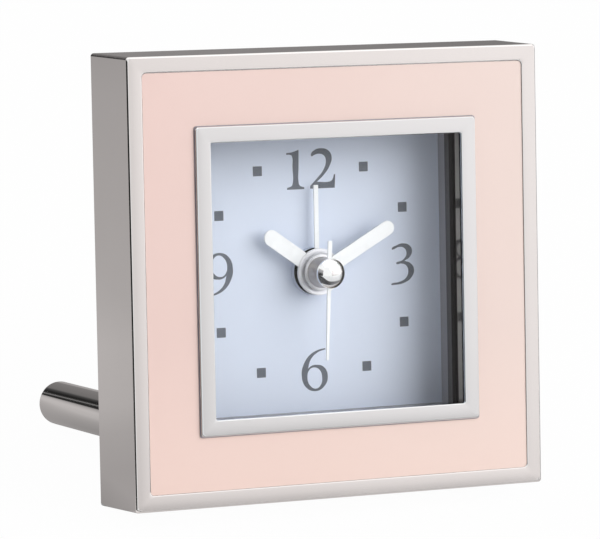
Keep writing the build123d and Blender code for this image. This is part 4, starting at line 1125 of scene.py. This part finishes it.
# Stage: pale floor, soft key light, fill from all round, and grey cards that the plating mirrors
stageSize = {
    "floor": 6.0, "floorColour": (0.9, 0.9, 0.9), "floorGlow": 0.975, "fill": 0.48,
    "fillColour": (0.98, 0.99, 1.0), "reach": 1.5, "aimLevel": 10, "key": 17.4, "keySize": 1.34,
    "keyAim": (0.73, 0.41, 1.0), "rear": 6.0, "rearSize": 0.7, "rearAim": (-0.6, 0.6, -1.0),
    "cardTint": (1.015, 0.99, 0.985),
}


def buildWorld():
    world = bpy.data.worlds.new("studio")
    bpy.context.scene.world = world
    world.use_nodes = True
    tree = world.node_tree
    plain = tree.nodes["Background"]
    plain.inputs["Color"].default_value = (*stageSize["fillColour"], 1)
    plain.inputs["Strength"].default_value = stageSize["fill"]
    seen = addNode(tree, "ShaderNodeBackground", {"Color": (1, 1, 1, 1)})
    sky = addNode(tree, "ShaderNodeTexCoord")
    height = addNode(tree, "ShaderNodeSeparateXYZ")
    shade = addNode(tree, "ShaderNodeMapRange", {"From Min": 0.0, "From Max": 0.9, "To Min": 0.3})
    aside = addNode(tree, "ShaderNodeMapRange", {"From Min": -0.05, "From Max": 0.2})  # white in front
    grey = addNode(tree, "ShaderNodeMix", {"A": 1.0}, data_type="FLOAT")
    white = addNode(tree, "ShaderNodeMath", operation="MAXIMUM")  # white to the camera at every height
    rays = addNode(tree, "ShaderNodeLightPath")
    first = addNode(tree, "ShaderNodeMath", operation="MAXIMUM")
    either = addNode(tree, "ShaderNodeMath", operation="MAXIMUM")
    straight = addNode(tree, "ShaderNodeMath", {1: 0.5}, operation="LESS_THAN")  # not after a matt surface
    direct = addNode(tree, "ShaderNodeMath", operation="MULTIPLY")
    blend = addNode(tree, "ShaderNodeMixShader")
    wire(tree,
         (sky, "Generated", height, 0), (height, "Z", shade, "Value"), (height, "Y", aside, "Value"),
         (aside, "Result", grey, "Factor"), (shade, "Result", grey, "B"), (grey, "Result", white, 0),
         (rays, "Is Camera Ray", white, 1), (white, 0, seen, "Strength"),
         (rays, "Diffuse Depth", straight, 0), (rays, "Is Camera Ray", first, 0),
         (rays, "Is Glossy Ray", first, 1), (first, 0, either, 0), (rays, "Is Transmission Ray", either, 1),
         (either, 0, direct, 0), (straight, 0, direct, 1), (direct, 0, blend, "Fac"), (plain, 0, blend, 1),
         (seen, 0, blend, 2), (blend, 0, tree.nodes["World Output"], "Surface"))


def floorFinish():
    # matt floor that the camera sees as an even white
    material, tree = newMaterial("paleFloor")
    shader = tree.nodes["Principled BSDF"]
    shader.inputs["Base Color"].default_value = (*stageSize["floorColour"], 1)
    shader.inputs["Roughness"].default_value = 0.9
    shader.inputs["Specular IOR Level"].default_value = 0.0
    glow = addNode(tree, "ShaderNodeEmission", {"Color": (1, 1, 1, 1), "Strength": 1.0})
    rays = addNode(tree, "ShaderNodeLightPath")
    share = addNode(tree, "ShaderNodeMath", {1: stageSize["floorGlow"]}, operation="MULTIPLY")
    blend = addNode(tree, "ShaderNodeMixShader")
    wire(tree, (rays, "Is Camera Ray", share, 0), (share, 0, blend, "Fac"), (shader, 0, blend, 1),
         (glow, 0, blend, 2), (blend, 0, tree.nodes["Material Output"], "Surface"))
    return material


def cardFinish(name, ramps):
    # plain card, its grey changing along the studio's axes
    material, tree = newMaterial(name)
    tree.nodes.remove(tree.nodes["Principled BSDF"])
    where = addNode(tree, "ShaderNodeTexCoord")
    split = addNode(tree, "ShaderNodeSeparateXYZ")
    glow = addNode(tree, "ShaderNodeEmission", {"Strength": 1.0})
    rays = addNode(tree, "ShaderNodeLightPath")
    straight = addNode(tree, "ShaderNodeMath", {1: 0.5}, operation="LESS_THAN")
    clear = addNode(tree, "ShaderNodeBsdfTransparent")
    blend = addNode(tree, "ShaderNodeMixShader")
    last = None
    for axis, stops in ramps.items():
        low, high = stops[0][0], stops[-1][0]
        spread = addNode(tree, "ShaderNodeMapRange", {"From Min": low, "From Max": high})
        ramp = addNode(tree, "ShaderNodeValToRGB")
        marks = ramp.color_ramp.elements
        while len(marks) < len(stops):
            marks.new(0.5)
        for mark, (place, grey) in zip(marks, stops):
            mark.position = (place - low) / (high - low)
            mark.color = (*[grey * tint for tint in stageSize["cardTint"]], 1)
        wire(tree, (split, axis, spread, "Value"), (spread, "Result", ramp, "Fac"))
        shade = (ramp, "Color")
        if last:
            both = addNode(tree, "ShaderNodeMix", {"Factor": 1.0}, data_type="RGBA", blend_type="MULTIPLY")
            wire(tree, (*last, both, "A"), (*shade, both, "B"))
            shade = (both, "Result")
        last = shade
    wire(tree, (where, "Object", split, 0), (*last, glow, "Color"), (rays, "Diffuse Depth", straight, 0),
         (straight, 0, blend, "Fac"), (clear, 0, blend, 1), (glow, 0, blend, 2),
         (blend, 0, tree.nodes["Material Output"], "Surface"))
    return material


def mirrorOnly(thing):
    thing.visible_camera = False
    thing.visible_diffuse = False
    thing.visible_shadow = False
    thing.visible_volume_scatter = False


# corners in metres, and along each axis the places where the grey changes
cards = {
    "floorCard": {
        "corners": [(-1.6, -0.05, 0.0008), (1.6, -0.05, 0.0008), (1.6, 0.9, 0.0008), (-1.6, 0.9, 0.0008)],
        "ramps": {"Y": [(-0.05, 0.85), (-0.031, 0.8), (-0.026, 0.36), (0.0, 0.35), (0.02, 0.385),
                        (0.035, 0.45), (0.07, 0.5), (0.14, 0.47), (0.26, 0.44), (0.4, 0.33), (0.55, 0.26),
                        (0.9, 0.22)],
                  # the dip near x -0.036 is a painted shadow under the leg, which the leg mirrors
                  "X": [(-1.6, 0.95), (-0.1, 1.0), (-0.08, 1.12), (-0.062, 1.2), (-0.052, 1.28),
                        (-0.046, 1.1), (-0.041, 1.05), (-0.0375, 0.85), (-0.0355, 0.5), (-0.03, 0.8),
                        (0.0, 0.8), (0.2, 1.0), (0.3, 0.76), (0.6, 0.68), (1.6, 0.4)]},
    },
    "backCard": {
        "corners": [(-1.6, 0.9, 0.0), (1.6, 0.9, 0.0), (1.6, 0.9, 0.6), (-1.6, 0.9, 0.6)],
        "ramps": {"Z": [(0.0, 0.2), (0.12, 0.2), (0.6, 0.24)],
                  "X": [(-1.6, 0.4), (-0.3, 0.45), (-0.1, 0.8), (-0.03, 0.95), (0.1, 1.05), (0.4, 1.25),
                        (1.6, 1.25)]},
    },
    "lowBackCard": {
        "corners": [(-1.6, 0.89, 0.0), (-0.06, 0.89, 0.0), (-0.06, 0.89, 0.16), (-1.6, 0.89, 0.16)],
        "ramps": {"X": [(-1.6, 0.024), (-0.29, 0.024), (-0.268, 0.04), (-0.25, 0.28), (-0.235, 0.06),
                        (-0.2, 0.014), (-0.17, 0.022), (-0.13, 0.05), (-0.1, 0.075), (-0.06, 0.17)]},
    },
    "frontCard": {
        "corners": [(0.3, -1.2, 0.0), (2.2, -1.2, 0.0), (2.2, -1.2, 1.3), (0.3, -1.2, 1.3)],
        "ramps": {"X": [(0.3, 0.84), (0.38, 0.86), (0.44, 0.93), (0.48, 0.97), (0.65, 1.06), (2.2, 1.1)],
                  "Z": [(0.0, 0.6), (0.06, 0.74), (0.115, 0.86), (0.2, 0.96), (0.32, 1.0), (1.3, 1.0)]},
    },
    "rightCard": {
        "corners": [(2.2, -1.2, 0.0), (2.2, 0.2, 0.0), (2.2, 0.2, 1.3), (2.2, -1.2, 1.3)],
        "ramps": {"Z": [(0.0, 1.2), (0.2, 1.4), (1.3, 1.4)]},
    },
    "topCard": {
        "corners": [(-0.6, -1.2, 1.4), (1.6, -1.2, 1.4), (1.6, 0.3, 1.4), (-0.6, 0.3, 1.4)],
        "ramps": {"Y": [(-1.2, 1.1), (-1.0, 1.4), (0.3, 1.4)]},
    },
    "leftCard": {
        "corners": [(-1.2, 0.0, 0.0), (-0.8, -1.2, 0.0), (-0.8, -1.2, 0.8), (-1.2, 0.0, 0.8)],
        "ramps": {"Z": [(0.0, 0.03), (0.1, 0.01), (0.2, 0.03), (0.3, 0.1), (0.42, 0.28), (0.7, 0.4),
                        (0.8, 0.8)]},
    },
    "lowCard": {
        "corners": [(0.09, -0.045, 0.0008), (0.0, -0.055, 0.0008), (-0.05, -0.055, 0.0008),
                    (-1.2, -0.06, 0.0008), (-1.2, -1.2, 0.0008), (-0.2, -0.32, 0.0008),
                    (-0.06, -0.16, 0.0008), (0.0, -0.1, 0.0008), (0.09, -0.07, 0.0008)],
        "ramps": {"X": [(-1.2, 0.04), (0.0, 0.04), (0.06, 0.2), (0.09, 0.5)]},
    },
}


def addLamp(name, energy, size, aim):
    lamp = bpy.data.lights.new(name, "AREA")
    lamp.shape = "SQUARE"
    lamp.size = size
    lamp.energy = energy
    thing = linkData(name, lamp)
    centre = clockFrame @ Vector((0, 0, stageSize["aimLevel"]))
    way = (Matrix.Rotation(faceTurn, 3, "X") @ Vector(aim)).normalized()
    thing.location = centre + way * stageSize["reach"]
    thing.rotation_euler = way.to_track_quat("Z", "Y").to_euler()
    return thing


def addSheet(name, corners, finish):
    thing = linkData(name, meshFrom(name, corners, [tuple(range(len(corners)))]))
    thing.data.materials.append(finish)
    return thing


def buildStage():
    s = stageSize
    floor = addSheet("floor", [(x, y, 0) for x, y in rectangle(s["floor"], s["floor"])], floorFinish())
    for name, card in cards.items():
        thing = addSheet(name, card["corners"], cardFinish(name, card["ramps"]))
        mirrorOnly(thing)
    keyLight = addLamp("keyLight", s["key"], s["keySize"], s["keyAim"])
    keyLight.visible_glossy = False  # the plating mirrors the cards instead of the lamp
    addLamp("rearLight", s["rear"], s["rearSize"], s["rearAim"])
    bpy.context.scene.view_settings.view_transform = "Standard"


buildWorld()
buildStage()
print("stage set")
